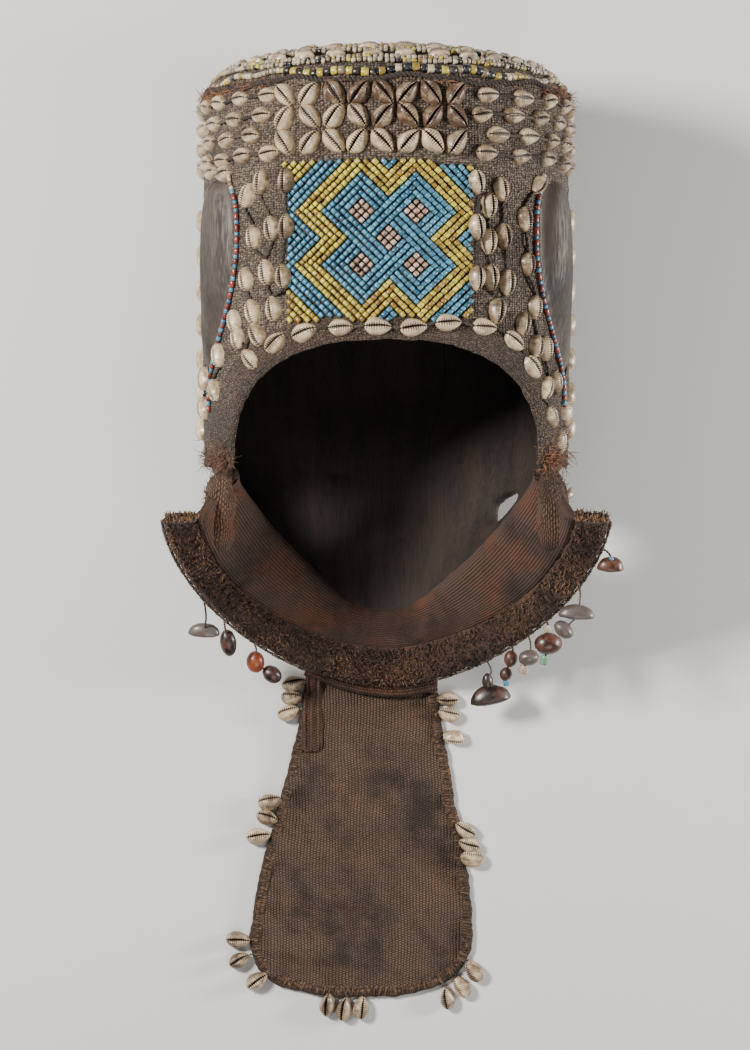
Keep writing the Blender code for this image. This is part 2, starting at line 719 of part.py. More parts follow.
# Pendants: name, angle of their foot round the collar, then the seeds and beads down the cord,
# each as its middle and its radii across and along
PENDANTS = (
    ("left_grey", -60, (((-0.1340, -0.0800, 0.078), (0.0115, 0.0055)),)),
    ("left_brown", -52, (((-0.1165, -0.0870, 0.070), (0.0058, 0.0100)),)),
    ("left_amber", -42, (((-0.0935, -0.1030, 0.050), (0.0066, 0.0082)),
                         ((-0.0840, -0.1115, 0.044), (0.0058, 0.0082)))),
    ("right_high", 78, (((0.1605, -0.0240, 0.160), (0.0015, 0.0015)),
                        ((0.1600, -0.0310, 0.156), (0.0095, 0.0060)))),
    ("right_grey", 65, (((0.1380, -0.0660, 0.118), (0.0130, 0.0056)),
                        ((0.1305, -0.0760, 0.114), (0.0066, 0.0052)))),
    ("right_brown", 51, (((0.1190, -0.0765, 0.082), (0.0040, 0.0036)),
                         ((0.1200, -0.0870, 0.079), (0.0100, 0.0085)),
                         ((0.1170, -0.1000, 0.074), (0.0035, 0.0045)))),
    ("right_round", 45, (((0.1075, -0.0965, 0.062), (0.0072, 0.0058)),
                         ((0.1035, -0.1060, 0.058), (0.0042, 0.0036)))),
    ("right_dark", 40, (((0.0945, -0.1000, 0.054), (0.0046, 0.0066)),
                        ((0.0925, -0.1110, 0.050), (0.0042, 0.0048)),
                        ((0.0915, -0.1200, 0.046), (0.0024, 0.0042)))),
    ("right_large", 32, (((0.0765, -0.1180, 0.033), (0.0042, 0.0066)),
                         ((0.0790, -0.1315, 0.030), (0.0150, 0.0078)))),
)


def pendants(part):
    """Seeds and beads strung on short twisted cords from the collar's edge."""
    seed = paint("seed_shell", (0.12, 0.065, 0.045), 0.4)
    for name, angle, beads in PENDANTS:
        _, edge, out, _ = beard_frame(angle)
        route = [edge + out * 0.0032] + [Vector(place) for place, _ in beads]
        body = [tube(f"{name}_cord", route, [0.0012] * len(route), 3, part)]
        for k, (place, (across, along)) in enumerate(beads):
            body.append(ball(f"{name}_bead_{k}", place, (across, along, min(across, along) * 0.9),
                             6, 3, part))
        pendant = fuse(f"{name}_pendant", body)
        pendant.data.materials.clear()
        pendant.data.materials.append(seed)


def brow_bead_band(part):
    """Flat strip of beadwork across the forehead."""
    beads = paint("face_beads", (0.15, 0.25, 0.35), 0.4)
    turns = [120 + 120 * k / 12 for k in range(13)]
    head_patch("brow_bead_band", turns, (0.093, 0.079), 0.0010, 0.0022, part, beads)


def build():
    clear_scene()
    part = new_collection("kuba_bwoom_mask")
    cutters = new_collection("cutters")
    wooden_helmet(part, cutters)
    raffia_cap(part, cutters)
    crown_cover(part, cutters)
    crown_bead_rope(part)
    bead_panel(part)
    for side, word in ((-1, "left"), (1, "right")):
        ear_bead_string(side, word, part)
    neck_cloth(part)
    beard_collar(part)
    beard_panel(part)
    edge_cowries(part)
    pendants(part)
    brow_bead_band(part)
    ground = bpy.data.objects.new("mask_lying_face_down", None)
    ground.location = MASK_SHIFT
    part.objects.link(ground)
    for collection in (part, cutters):
        for thing in collection.objects:
            if thing is not ground:
                thing.parent = ground
    for thing in cutters.objects:
        thing.hide_render = True
        thing.display_type = "WIRE"


build()
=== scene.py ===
"""Kuba bwoom helmet mask lying face down, seen from above with its crown away from the viewer."""
import math

import bmesh
import bpy
import numpy as np
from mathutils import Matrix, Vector, noise


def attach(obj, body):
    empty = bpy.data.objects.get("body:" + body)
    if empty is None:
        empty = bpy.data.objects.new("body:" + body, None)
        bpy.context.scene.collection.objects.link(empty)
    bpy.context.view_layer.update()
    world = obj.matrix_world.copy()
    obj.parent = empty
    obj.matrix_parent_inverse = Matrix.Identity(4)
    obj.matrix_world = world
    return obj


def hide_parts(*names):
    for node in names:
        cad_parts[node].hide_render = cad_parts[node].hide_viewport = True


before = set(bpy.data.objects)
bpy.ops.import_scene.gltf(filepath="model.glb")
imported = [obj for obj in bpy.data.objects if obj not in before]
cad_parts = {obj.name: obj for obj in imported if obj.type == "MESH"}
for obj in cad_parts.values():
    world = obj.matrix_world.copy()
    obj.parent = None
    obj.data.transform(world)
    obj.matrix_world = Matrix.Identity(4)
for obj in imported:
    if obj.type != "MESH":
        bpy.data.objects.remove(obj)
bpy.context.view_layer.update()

# Carved helmet. One block of dark wood, hollowed to an even wall, with both ears and the face
# left standing; the lower rim is cut on a slant and the back opens in a wide arch. Smoke and
# handling have darkened it; the inside of the hollow is painted darker still as shade. The ears are
# rubbed grey, and their outer edges are painted lighter still as a highlight.
MASK_SHIFT = np.array((-0.0048, 0.0165, 0.0))
SECTION_POWER = 2.05
AXIS_Z = 0.134
BACK_Z = 0.258
HALF_WIDTH = ((-0.090, 0.050), (-0.063, 0.062), (-0.045, 0.069), (-0.015, 0.087), (0.009, 0.103),
              (0.036, 0.124), (0.060, 0.128), (0.306, 0.128))
FRONT_Z = ((-0.090, 0.060), (-0.070, 0.024), (-0.050, 0.017), (0.0, 0.022), (0.030, 0.027),
           (0.060, 0.024), (0.100, 0.008), (0.150, -0.002), (0.215, -0.002), (0.250, 0.012),
           (0.306, 0.016))
CHIN_Y = -0.085
RIM_Y = 0.306
DOME_RISE = 0.030
WALL = 0.011
RIM_PLANE_Y = -0.063
RIM_PLANE_Z = 0.035
RIM_SLOPE = 0.70
ARCH_HALF_WIDTH = 0.108
ARCH_FOOT_Y = 0.040
ARCH_RISE = 0.088
ARCH_POWER = 2.6
EAR_TOP_Y = 0.241
EAR_FOOT_Y = 0.100
EAR_OUT_X = 0.132
EAR_FRONT_TURN = 86
EAR_BACK_TURN = ((0.098, 74.0), (0.115, 69.5), (0.135, 63.5), (0.160, 57.5), (0.185, 54.5),
                 (0.205, 54.0), (0.225, 55.0), (0.242, 58.5))
EAR_HOLLOW_PLACE = (0.1375, 0.176, 0.166)
EAR_HOLLOW_RADII = (0.0095, 0.0460, 0.0135)
EAR_SKIN_X = 0.1245
EYE_X = 0.036
EYE_Y = 0.038
EYE_SLIT_RADII = (0.0125, 0.0028)
SIDE_HOLE_YZ = (0.0125, 0.085)
SIDE_HOLE_RADII = (0.0115, 0.0150)
LEVELLED_Z = 0.0003
CARVING_GRID = 0.0034
ADZE_DEPTH = 0.0005


def follow(stops, position):
    """Size at positions along (position, size) stops, on a smooth curve through them."""
    at, size = np.array(stops).T
    position = np.clip(np.asarray(position, float), at[0], at[-1])
    first = np.clip(np.searchsorted(at, position) - 1, 0, len(at) - 2)
    before, after = np.maximum(first - 1, 0), np.minimum(first + 2, len(at) - 1)
    step = at[first + 1] - at[first]
    slope_in = (size[first + 1] - size[before]) / (at[first + 1] - at[before]) * step
    slope_out = (size[after] - size[first]) / (at[after] - at[first]) * step
    t = (position - at[first]) / step
    return ((2 * t**3 - 3 * t**2 + 1) * size[first] + (t**3 - 2 * t**2 + t) * slope_in
            + (3 * t**2 - 2 * t**3) * size[first + 1] + (t**3 - t**2) * slope_out)


def signed_power(value, power):
    return np.sign(value) * np.abs(value) ** power


def unit(vectors):
    return vectors / np.linalg.norm(vectors, axis=-1, keepdims=True)


def head_point(turn, y, offset=0.0):
    """Points on the head at a turn in degrees from the middle of its back, plus an offset out."""
    angle = np.radians(turn)
    front = AXIS_Z - follow(FRONT_Z, y)
    depth = np.where(np.cos(angle) > 0, BACK_Z - AXIS_Z, front) + offset
    x = (follow(HALF_WIDTH, y) + offset) * signed_power(np.sin(angle), 2 / SECTION_POWER)
    z = AXIS_Z + depth * signed_power(np.cos(angle), 2 / SECTION_POWER)
    return np.stack(np.broadcast_arrays(x, np.asarray(y, float), z), axis=-1)


def head_frame(turn, y, offset=0.0):
    """Place, direction across and direction out, for points on the head."""
    across = unit(head_point(turn + 1, y, offset) - head_point(turn - 1, y, offset))
    along = unit(head_point(turn, y + 0.002, offset) - head_point(turn, y - 0.002, offset))
    return head_point(turn, y, offset), across, unit(np.cross(across, along))


def crown_point(turn, share, lift=0.0):
    """Points on the crown's dome, share of the way from its middle to its rim."""
    rim = head_point(turn, RIM_Y)
    middle_z = (BACK_Z + follow(FRONT_Z, RIM_Y)) / 2
    y = RIM_Y + lift + DOME_RISE * np.sqrt(np.maximum(1 - share**2, 0))
    return np.stack(np.broadcast_arrays(rim[..., 0] * share, y,
                                        middle_z + (rim[..., 2] - middle_z) * share), axis=-1)


def ring_faces(rows, sides, closed=True):
    """Quads between rows of points, round and round or open."""
    last = sides if closed else sides - 1
    j = np.arange(last)
    k = (j + 1) % sides
    start = np.arange(rows - 1)[:, None] * sides
    return np.stack((start + j, start + k, start + sides + k, start + sides + j), -1).reshape(-1, 4)


def capped_faces(rows, sides, closed=True, turned=False):
    """Quads between rows of points, and one face over each end."""
    ends = [list(range(sides))[::-1], list(range((rows - 1) * sides, rows * sides))]
    if turned:
        ends = [end[::-1] for end in ends]
    return ring_faces(rows, sides, closed).tolist() + ends


def new_mesh(name, points, faces):
    """Mesh object standing where the mask lies."""
    mesh = bpy.data.meshes.new(name)
    mesh.from_pydata((np.asarray(points) + MASK_SHIFT).tolist(), [], [list(map(int, f)) for f in faces])
    mesh.update()
    piece = bpy.data.objects.new(name, mesh)
    bpy.context.scene.collection.objects.link(piece)
    return piece


def solid(name, rings):
    """Closed form through rings of points, capped at both ends."""
    rings = np.asarray(rings, float)
    piece = new_mesh(name, rings.reshape(-1, 3), capped_faces(*rings.shape[:2]))
    skin = bmesh.new()
    skin.from_mesh(piece.data)
    bmesh.ops.recalc_face_normals(skin, faces=skin.faces)
    skin.to_mesh(piece.data)
    skin.free()
    return piece


def head_solid(name, offset, foot, top, sides, dome_rise):
    turns = np.arange(sides) * 360 / sides
    rings = [head_point(turns, y, offset) for y in np.linspace(foot, top, 44)]
    middle_z = (BACK_Z + follow(FRONT_Z, RIM_Y)) / 2
    for step in np.radians(np.linspace(12, 84, 9)):
        ring = rings[43] * (math.cos(step), 1, 1)
        ring[:, 1] = RIM_Y + dome_rise * math.sin(step)
        ring[:, 2] = middle_z + (rings[43][:, 2] - middle_z) * math.cos(step)
        rings.append(ring)
    return solid(name, rings)


def rim_plane_y(z):
    return RIM_PLANE_Y + RIM_SLOPE * (z - RIM_PLANE_Z)


def arch_outline(grow=0.0, steps=48):
    """Arch seen from behind, as (x, y) from its left foot over the top to its right foot."""
    angle = np.pi * (1 - np.arange(steps + 1) / steps)
    x = (ARCH_HALF_WIDTH + grow) * signed_power(np.cos(angle), 2 / ARCH_POWER)
    y = ARCH_FOOT_Y + (ARCH_RISE + grow) * np.abs(np.sin(angle)) ** (2 / ARCH_POWER)
    foot = ARCH_HALF_WIDTH + grow
    return np.column_stack((np.r_[-foot, x, foot], np.r_[-0.05, y, -0.05]))


def flat_ring(outline, z):
    return np.column_stack((outline, np.full(len(outline), z)))


def ear_solid(side, name):
    """Lobe that swells out of the head, with a rounded back edge and a foot drawn out thin."""
    rings = []
    for share in np.sin(np.linspace(-np.pi / 2, np.pi / 2, 33)):
        y = (EAR_TOP_Y + EAR_FOOT_Y) / 2 + (EAR_TOP_Y - EAR_FOOT_Y) / 2 * share
        swell = (1 - abs(share) ** 3.2) ** 0.6
        back = head_point(follow(EAR_BACK_TURN, y), y, -0.005)
        lip_z = head_point(follow(EAR_BACK_TURN, y), y)[2] - 0.005
        front = head_point(EAR_FRONT_TURN, y, -0.005)
        skin = head_point(EAR_FRONT_TURN, y)[0] - 0.003
        out_x = skin + (EAR_OUT_X - skin) * swell
        bevel = 0.013 * swell + 0.001
        section = [(back[0], back[2]), (out_x - bevel, lip_z), (out_x - 0.25 * bevel, lip_z - 0.008),
                   (out_x, lip_z - 0.018), (out_x, front[2] + 0.004), (front[0], front[2])]
        rings.append([(side * x, y, z) for x, z in section][::-side])
    return solid(name, rings)


def egg(name, place, radii, sides=20, rows=12):
    polar = np.radians(np.linspace(6, 174, rows))[:, None]
    round_ = -np.arange(sides)[None] * 2 * np.pi / sides
    unit_egg = np.stack(np.broadcast_arrays(np.sin(polar) * np.cos(round_), np.cos(polar),
                                            np.sin(polar) * np.sin(round_)), -1)
    return solid(name, (unit_egg * radii + place)[::-1])


def nose_solid():
    """Straight ridge that widens to rounded wings."""
    rings = []
    for y, half, tip in ((-0.012, 0.012, 0.0120), (-0.008, 0.0165, 0.0070), (0.000, 0.0155, 0.0048),
                         (0.010, 0.011, 0.0085), (0.022, 0.0085, 0.0130), (0.036, 0.0075, 0.0180),
                         (0.052, 0.0070, 0.0225)):
        angle = np.linspace(0, np.pi, 9)
        arc = [(-half * math.cos(a), y, tip + 0.010 - 0.010 * math.sin(a)) for a in angle]
        rings.append([(half, y, 0.036), (-half, y, 0.036)] + arc)
    return solid("nose", rings)


def brow_solid(side, name):
    share = np.linspace(0, 1, 13)
    places = head_point(180 - side * (6 + 36 * share), 0.057 + 0.012 * np.sin(np.pi * share), -0.001)
    radii = 0.0050 * (1 - 0.6 * np.abs(2 * share - 1) ** 2)
    angle = np.arange(10) * 2 * np.pi / 10 * side
    rings = [[p + r * np.array((0, math.cos(a), math.sin(a))) for a in angle]
             for p, r in zip(places, radii)]
    return solid(name, rings)


SIDES = ((-1, "left"), (1, "right"))


def mirrored_pair(make):
    return [make(side, word) for side, word in SIDES]


def eye_slit(side, word):
    angle = -np.arange(24) * 2 * np.pi / 24
    outline = np.column_stack((side * EYE_X + EYE_SLIT_RADII[0] * np.cos(angle),
                               EYE_Y + EYE_SLIT_RADII[1] * np.sin(angle)))
    return solid(f"{word}_eye_slit", [flat_ring(outline, z) for z in (0.060, 0.005)])


def carve(block, tool, operation):
    change = block.modifiers.new(tool.name, "BOOLEAN")
    change.object = tool
    change.operation = operation


block = head_solid("helmet_block", 0.0, CHIN_Y, RIM_Y, 128, DOME_RISE)
added = mirrored_pair(lambda side, word: ear_solid(side, f"{word}_ear"))
added += mirrored_pair(lambda side, word: brow_solid(side, f"{word}_brow"))
added += mirrored_pair(lambda side, word: egg(f"{word}_eyelid", (side * EYE_X, EYE_Y, 0.0300),
                                              (0.0205, 0.0095, 0.0120)))
added += [nose_solid(), egg("upper_lip", (0, -0.0310, 0.0195), (0.027, 0.0050, 0.0100)),
          egg("lower_lip", (0, -0.0405, 0.0195), (0.024, 0.0060, 0.0105))]
slant = np.array([(0, rim_plane_y(-0.1), -0.1), (0, rim_plane_y(0.3), 0.3), (0, -0.3, 0.3),
                  (0, -0.3, -0.1)])
hole = np.arange(20) * 2 * np.pi / 20
side_hole = np.column_stack((np.zeros(20), SIDE_HOLE_YZ[0] + SIDE_HOLE_RADII[0] * np.cos(hole),
                             SIDE_HOLE_YZ[1] + SIDE_HOLE_RADII[1] * np.sin(hole)))
floor_side = np.array([(-0.2, 0, -0.05), (0.2, 0, -0.05), (0.2, 0, LEVELLED_Z), (-0.2, 0, LEVELLED_Z)])
arch = arch_outline()
cut = [head_solid("hollow", -WALL, CHIN_Y + 0.004, 0.300, 96, DOME_RISE * 0.5),
       solid("slanting_rim", [slant + (x, 0, 0) for x in (-0.2, 0.2)]),
       solid("back_arch", [flat_ring(arch, z) for z in (0.150, 0.300)]),
       solid("worn_hole", [side_hole + (x, 0, 0) for x in (0.060, 0.130)]),
       solid("levelled_brow", [floor_side + (0, y, 0) for y in (-0.1, 0.4)])]
cut += mirrored_pair(eye_slit)
cut += mirrored_pair(lambda side, word: egg(f"{word}_ear_hollow", EAR_HOLLOW_PLACE * np.array((side, 1, 1)),
                                            EAR_HOLLOW_RADII))
carve(block, cut[0], "DIFFERENCE")
for tool in added:
    carve(block, tool, "UNION")
for tool in cut[1:]:
    carve(block, tool, "DIFFERENCE")
rounding = block.modifiers.new("even_skin", "REMESH")
rounding.mode = "VOXEL"
rounding.voxel_size = CARVING_GRID
rounding.use_smooth_shade = True
soften = block.modifiers.new("hand_rubbed", "SMOOTH")
soften.factor = 0.5
soften.iterations = 5
bpy.context.view_layer.update()
carved = bpy.data.meshes.new_from_object(block.evaluated_get(bpy.context.evaluated_depsgraph_get()))
for spare in [block, *added, *cut]:
    bpy.data.objects.remove(spare)
helmet = bpy.data.objects.new("carved_helmet", carved)
bpy.context.scene.collection.objects.link(helmet)


def read_points(mesh):
    points = np.empty(len(mesh.vertices) * 3)
    mesh.vertices.foreach_get("co", points)
    return points.reshape(-1, 3)


def mark(mesh, name, values):
    """Number for each point of a mesh, which its material reads."""
    values = np.asarray(values, float)
    kind = "FLOAT" if values.ndim == 1 else "FLOAT_VECTOR"
    word = "value" if values.ndim == 1 else "vector"
    mesh.attributes.new(name, kind, "POINT").data.foreach_set(word, values.ravel())


grain_points = read_points(carved) - MASK_SHIFT
normals = np.empty(len(carved.vertices) * 3)
carved.vertices.foreach_get("normal", normals)
normals = normals.reshape(-1, 3)
from_axis = grain_points - (0, 0, AXIS_Z)
from_axis[:, 1] = 0
inside = (normals * unit(from_axis)).sum(1) < -0.15
dents = np.array([noise.noise(Vector((p[0] * 70, p[1] * 26, p[2] * 70))) for p in grain_points])
resting = grain_points[:, 2] < 0.003
grain_points += normals * (dents * ADZE_DEPTH * np.where(resting, 0, 1))[:, None]
carved.vertices.foreach_set("co", (grain_points + MASK_SHIFT).ravel())
on_ear = ((np.abs(grain_points[:, 0]) > 0.098) & ~inside & (grain_points[:, 2] > 0.141)
          & (grain_points[:, 1] > EAR_FOOT_Y - 0.008) & (grain_points[:, 1] < EAR_TOP_Y + 0.004))
# The outer edges of the ears are painted lighter: a painted highlight over the grey of the rubbed wear.
ear_edge_highlight = np.clip((np.abs(grain_points[:, 0]) - EAR_SKIN_X) / 0.006, 0, 1) * on_ear
mark(carved, "hollow", inside.astype(float))
mark(carved, "rubbed", on_ear * 0.40 + ear_edge_highlight * 0.60)


def add_node(tree, kind, settings=(), **inputs):
    """Shader node with its settings, and its sockets set to a value or joined to a socket."""
    node = tree.nodes.new(kind)
    for setting, value in dict(settings).items():
        setattr(node, setting, value)
    for socket, value in inputs.items():
        target = node.inputs[int(socket[1:]) if socket[0] == "_" else socket.replace("_", " ")]
        if isinstance(value, bpy.types.NodeSocket):
            tree.links.new(value, target)
        else:
            target.default_value = value
    return node


def calculate(tree, operation, first, second=0.0):
    return add_node(tree, "ShaderNodeMath", {"operation": operation}, _0=first, _1=second).outputs[0]


def blend_colours(tree, share, first, second):
    """First colour where share is 0, second where it is 1."""
    return add_node(tree, "ShaderNodeMix", {"data_type": "RGBA"}, _0=share, _6=first,
                    _7=second).outputs[2]


def spread(tree, value, low, high, to_low=0.0, to_high=1.0):
    """Value from low to high, spread out from to_low to to_high."""
    node = add_node(tree, "ShaderNodeMapRange", {"interpolation_type": "SMOOTHSTEP"}, _0=value,
                    _1=low, _2=high, _3=to_low, _4=to_high)
    return node.outputs[0]


def cloudy(tree, vector, scale, detail=3.0, roughness=0.55):
    return add_node(tree, "ShaderNodeTexNoise", Vector=vector, Scale=scale, Detail=detail,
                    Roughness=roughness).outputs[0]


def stretched(tree, vector, scale):
    return add_node(tree, "ShaderNodeMapping", Vector=vector, Scale=scale).outputs[0]


def place_of(tree):
    return add_node(tree, "ShaderNodeTexCoord").outputs["Object"]


def marked(tree, name, output="Fac"):
    return add_node(tree, "ShaderNodeAttribute", {"attribute_name": name}).outputs[output]


def new_material(name, **plain):
    """Material with its shader's plain values; patterns are joined to it afterwards."""
    material = bpy.data.materials.new(name)
    material.use_nodes = True
    tree = material.node_tree
    shader = tree.nodes["Principled BSDF"]
    for socket, value in plain.items():
        shader.inputs[socket.replace("_", " ")].default_value = value
    return material, tree, shader


def new_group(name, inputs, outputs):
    """Empty node group with named sockets, given as (name, kind, default)."""
    group = bpy.data.node_groups.new(name, "ShaderNodeTree")
    for socket, kind, default in inputs:
        made = group.interface.new_socket(socket, in_out="INPUT", socket_type=f"NodeSocket{kind}")
        if default is not None:
            made.default_value = default
    for socket, kind in outputs:
        group.interface.new_socket(socket, in_out="OUTPUT", socket_type=f"NodeSocket{kind}")
    return group, group.nodes.new("NodeGroupInput"), group.nodes.new("NodeGroupOutput")


def use_group(tree, group, **inputs):
    return add_node(tree, "ShaderNodeGroup", {"node_tree": group}, **inputs)


def bump(tree, shader, height, distance, strength=1.0):
    node = add_node(tree, "ShaderNodeBump", Height=height, Distance=distance, Strength=strength)
    tree.links.new(node.outputs[0], shader.inputs["Normal"])


def old_wood_group():
    """Fine streaks along the grain, pores, and a few long drying cracks."""
    group, into, out = new_group("old_wood", [("Vector", "Vector", None), ("Cracking", "Float", 0.5)],
                                 [("Streaks", "Float"), ("Cracks", "Float"), ("Height", "Float")])
    place = into.outputs[0]
    fine = cloudy(group, stretched(group, place, (700, 60, 700)), 1.0, 4, 0.6)
    broad = cloudy(group, stretched(group, place, (60, 9, 60)), 1.0, 3, 0.5)
    streaks = calculate(group, "ADD", calculate(group, "MULTIPLY", fine, 0.5),
                        calculate(group, "MULTIPLY", broad, 0.5))
    parts = add_node(group, "ShaderNodeSeparateXYZ", Vector=place)
    bend = cloudy(group, stretched(group, place, (5, 9, 5)), 1.0, 3, 0.5)
    across = calculate(group, "ADD", calculate(group, "MULTIPLY", parts.outputs[0], 13.0),
                       calculate(group, "MULTIPLY", parts.outputs[2], 9.0))
    across = calculate(group, "ADD", across, calculate(group, "MULTIPLY", bend, 0.5))
    line = calculate(group, "PINGPONG", across, 0.5)
    lines = spread(group, line, 0.004, 0.011, 1.0, 0.0)
    some = spread(group, cloudy(group, stretched(group, place, (9, 7, 9)), 1.0, 1, 0.5), 0.50, 0.60)
    cracks = calculate(group, "MULTIPLY", calculate(group, "MULTIPLY", lines, some), into.outputs[1])
    height = calculate(group, "SUBTRACT", streaks, calculate(group, "MULTIPLY", cracks, 1.5))
    for socket, value in (("Streaks", spread(group, streaks, 0.30, 0.70)), ("Cracks", cracks),
                          ("Height", height)):
        group.links.new(value, out.inputs[socket])
    return group


def handling_dirt_group():
    """Patches of soot and dirt; Start and Full are the noise values where they begin and are thick."""
    group, into, out = new_group(
        "handling_dirt", [("Vector", "Vector", None), ("Scale", "Float", 19.0), ("Start", "Float", 0.42),
                          ("Full", "Float", 0.70)], [("Dirt", "Float"), ("Grain", "Float")])
    grain = add_node(group, "ShaderNodeTexNoise", Vector=into.outputs[0], Scale=into.outputs[1],
                     Detail=5.0, Roughness=0.65).outputs[0]
    dirt = add_node(group, "ShaderNodeMapRange", {"interpolation_type": "SMOOTHSTEP"}, _0=grain,
                    _1=into.outputs[2], _2=into.outputs[3]).outputs[0]
    group.links.new(dirt, out.inputs["Dirt"])
    group.links.new(grain, out.inputs["Grain"])
    return group


DIRT = handling_dirt_group()


def dirty(tree, place, colour, dirt_colour, amount, **values):
    """Colour with the dirt's colour over it, and the dirt's node."""
    dirt = use_group(tree, DIRT, Vector=place, **values)
    covered = calculate(tree, "MULTIPLY", dirt.outputs[0], amount)
    return blend_colours(tree, covered, colour, dirt_colour), dirt


def aged_wood():
    material, tree, shader = new_material("smoke_dark_wood", Roughness=0.6)
    place = place_of(tree)
    sound = calculate(tree, "SUBTRACT", 1.0, marked(tree, "rubbed"))
    wood = use_group(tree, old_wood_group(), Vector=place, Cracking=sound)
    dark = blend_colours(tree, wood.outputs[0], (0.012, 0.008, 0.006, 1), (0.075, 0.045, 0.030, 1))
    # The inside of the hollow is painted near black: painted shade where little light reaches.
    hollow_shade = blend_colours(tree, wood.outputs[0], (0.003, 0.002, 0.002, 1), (0.034, 0.019, 0.013, 1))
    grey = blend_colours(tree, wood.outputs[0], (0.026, 0.021, 0.018, 1), (0.078, 0.069, 0.061, 1))
    colour = blend_colours(tree, marked(tree, "hollow"), dark, hollow_shade)
    # The ears' grey is rubbed wear; at their outer edges it is strengthened as a painted highlight.
    colour = blend_colours(tree, marked(tree, "rubbed"), colour, grey)
    colour = blend_colours(tree, wood.outputs[1], colour, (0.002, 0.0015, 0.001, 1))
    colour, _ = dirty(tree, place, colour, (0.016, 0.012, 0.010, 1), 0.65, Scale=13.0, Start=0.40)
    tree.links.new(colour, shader.inputs["Base Color"])
    worn = spread(tree, wood.outputs[0], 0.2, 0.8, 0.78, 0.52)
    dull = calculate(tree, "MAXIMUM", calculate(tree, "MULTIPLY", marked(tree, "hollow"), 0.85),
                     calculate(tree, "MULTIPLY", marked(tree, "rubbed"), 0.72))
    tree.links.new(calculate(tree, "MAXIMUM", worn, dull), shader.inputs["Roughness"])
    bump(tree, shader, wood.outputs[2], 0.0006, 0.55)
    return material


carved.materials.clear()
carved.materials.append(aged_wood())
carved.polygons.foreach_set("use_smooth", [True] * len(carved.polygons))
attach(helmet, "root")
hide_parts("wooden_helmet")

# Raffia cap. A grey-brown net of knotted raffia is drawn over the back and sides of the head
# and left open round the ears; along the arch its edge is rolled under and stitched down.
CLOTH_LIFT = 0.0028
CAP_FOOT_Y = 0.044
CAP_BAND_Y = 0.258
CAP_FRONT_TURN = 103
CAP_MESH = 0.0018
KNOT_SIZE = (0.0023, 0.0016)
BAND_WIDTH = 0.0185
BAND_ROWS = 13
CAP_ROUND = 0.82
FRAY = ((-1, 420, (0.0, 0.42)), (1, 300, (0.1, 1.0)))


def ribbed_cloth_group():
    """Ribs of woven thread, the stitches of each rib half a step off its neighbours'."""
    group, into, out = new_group(
        "ribbed_raffia", [("Vector", "Vector", None), ("Rib", "Float", 0.0026),
                          ("Stitch", "Float", 0.0021), ("Unevenness", "Float", 0.0005)],
        [("Threads", "Float")])
    wander = add_node(group, "ShaderNodeTexNoise", Vector=into.outputs[0], Scale=130.0, Detail=2.0)
    offset = add_node(group, "ShaderNodeVectorMath", {"operation": "SCALE"}, _0=wander.outputs["Color"],
                      Scale=into.outputs[3]).outputs[0]
    moved = add_node(group, "ShaderNodeVectorMath", {"operation": "ADD"}, _0=into.outputs[0],
                     _1=offset).outputs[0]
    parts = add_node(group, "ShaderNodeSeparateXYZ", Vector=moved)
    ribs = calculate(group, "DIVIDE", parts.outputs[0], into.outputs[1])
    half_step = calculate(group, "MULTIPLY", calculate(group, "FLOOR", ribs), 0.5)
    stitches = calculate(group, "ADD", calculate(group, "DIVIDE", parts.outputs[1], into.outputs[2]),
                         half_step)
    waves = []
    for count in (ribs, stitches):
        wave = calculate(group, "SINE", calculate(group, "MULTIPLY", count, math.pi))
        waves.append(calculate(group, "POWER", calculate(group, "ABSOLUTE", wave), 0.75))
    notched = calculate(group, "ADD", calculate(group, "MULTIPLY", waves[1], 0.85), 0.15)
    group.links.new(calculate(group, "MULTIPLY", waves[0], notched), out.inputs["Threads"])
    return group


def broken_fibres_group():
    """Fine fur of broken fibre ends."""
    group, into, out = new_group("broken_fibres", [("Vector", "Vector", None), ("Scale", "Float", 1100.0)],
                                 [("Fibres", "Float")])
    fine = add_node(group, "ShaderNodeTexNoise", Vector=into.outputs[0], Scale=into.outputs[1],
                    Detail=3.5, Roughness=0.72).outputs[0]
    group.links.new(fine, out.inputs["Fibres"])
    return group


WOVEN = ribbed_cloth_group()
FIBRES = broken_fibres_group()


def raffia_cloth(name, dark, light, knot, unevenness, depth, stain=(0.20, 0.085, 0.036, 1)):
    """Cloth of raffia threads: dark between them, with sooty patches and rusty ones."""
    material, tree, shader = new_material(name, Roughness=0.92, Sheen_Weight=0.02,
                                          Sheen_Roughness=0.5)
    place = place_of(tree)
    weave = use_group(tree, WOVEN, Vector=marked(tree, "lay", "Vector"), Rib=knot[0],
                      Stitch=knot[1], Unevenness=unevenness)
    fuzz = use_group(tree, FIBRES, Vector=place).outputs[0]
    rust = cloudy(tree, stretched(tree, place, (1.0, 1.3, 1.0)), 23, 5, 0.68)
    threads = calculate(tree, "MULTIPLY", weave.outputs[0], spread(tree, fuzz, 0.2, 0.8, 0.45, 1.2))
    worn = blend_colours(tree, spread(tree, rust, 0.44, 0.66, 0.0, 0.9), light, stain)
    colour = blend_colours(tree, threads, dark, worn)
    colour, _ = dirty(tree, place, colour, dark, 0.78, Start=0.43, Full=0.68)
    tree.links.new(colour, shader.inputs["Base Color"])
    height = calculate(tree, "ADD", weave.outputs[0], calculate(tree, "MULTIPLY", fuzz, 0.5))
    bump(tree, shader, height, depth, 0.9)
    return material


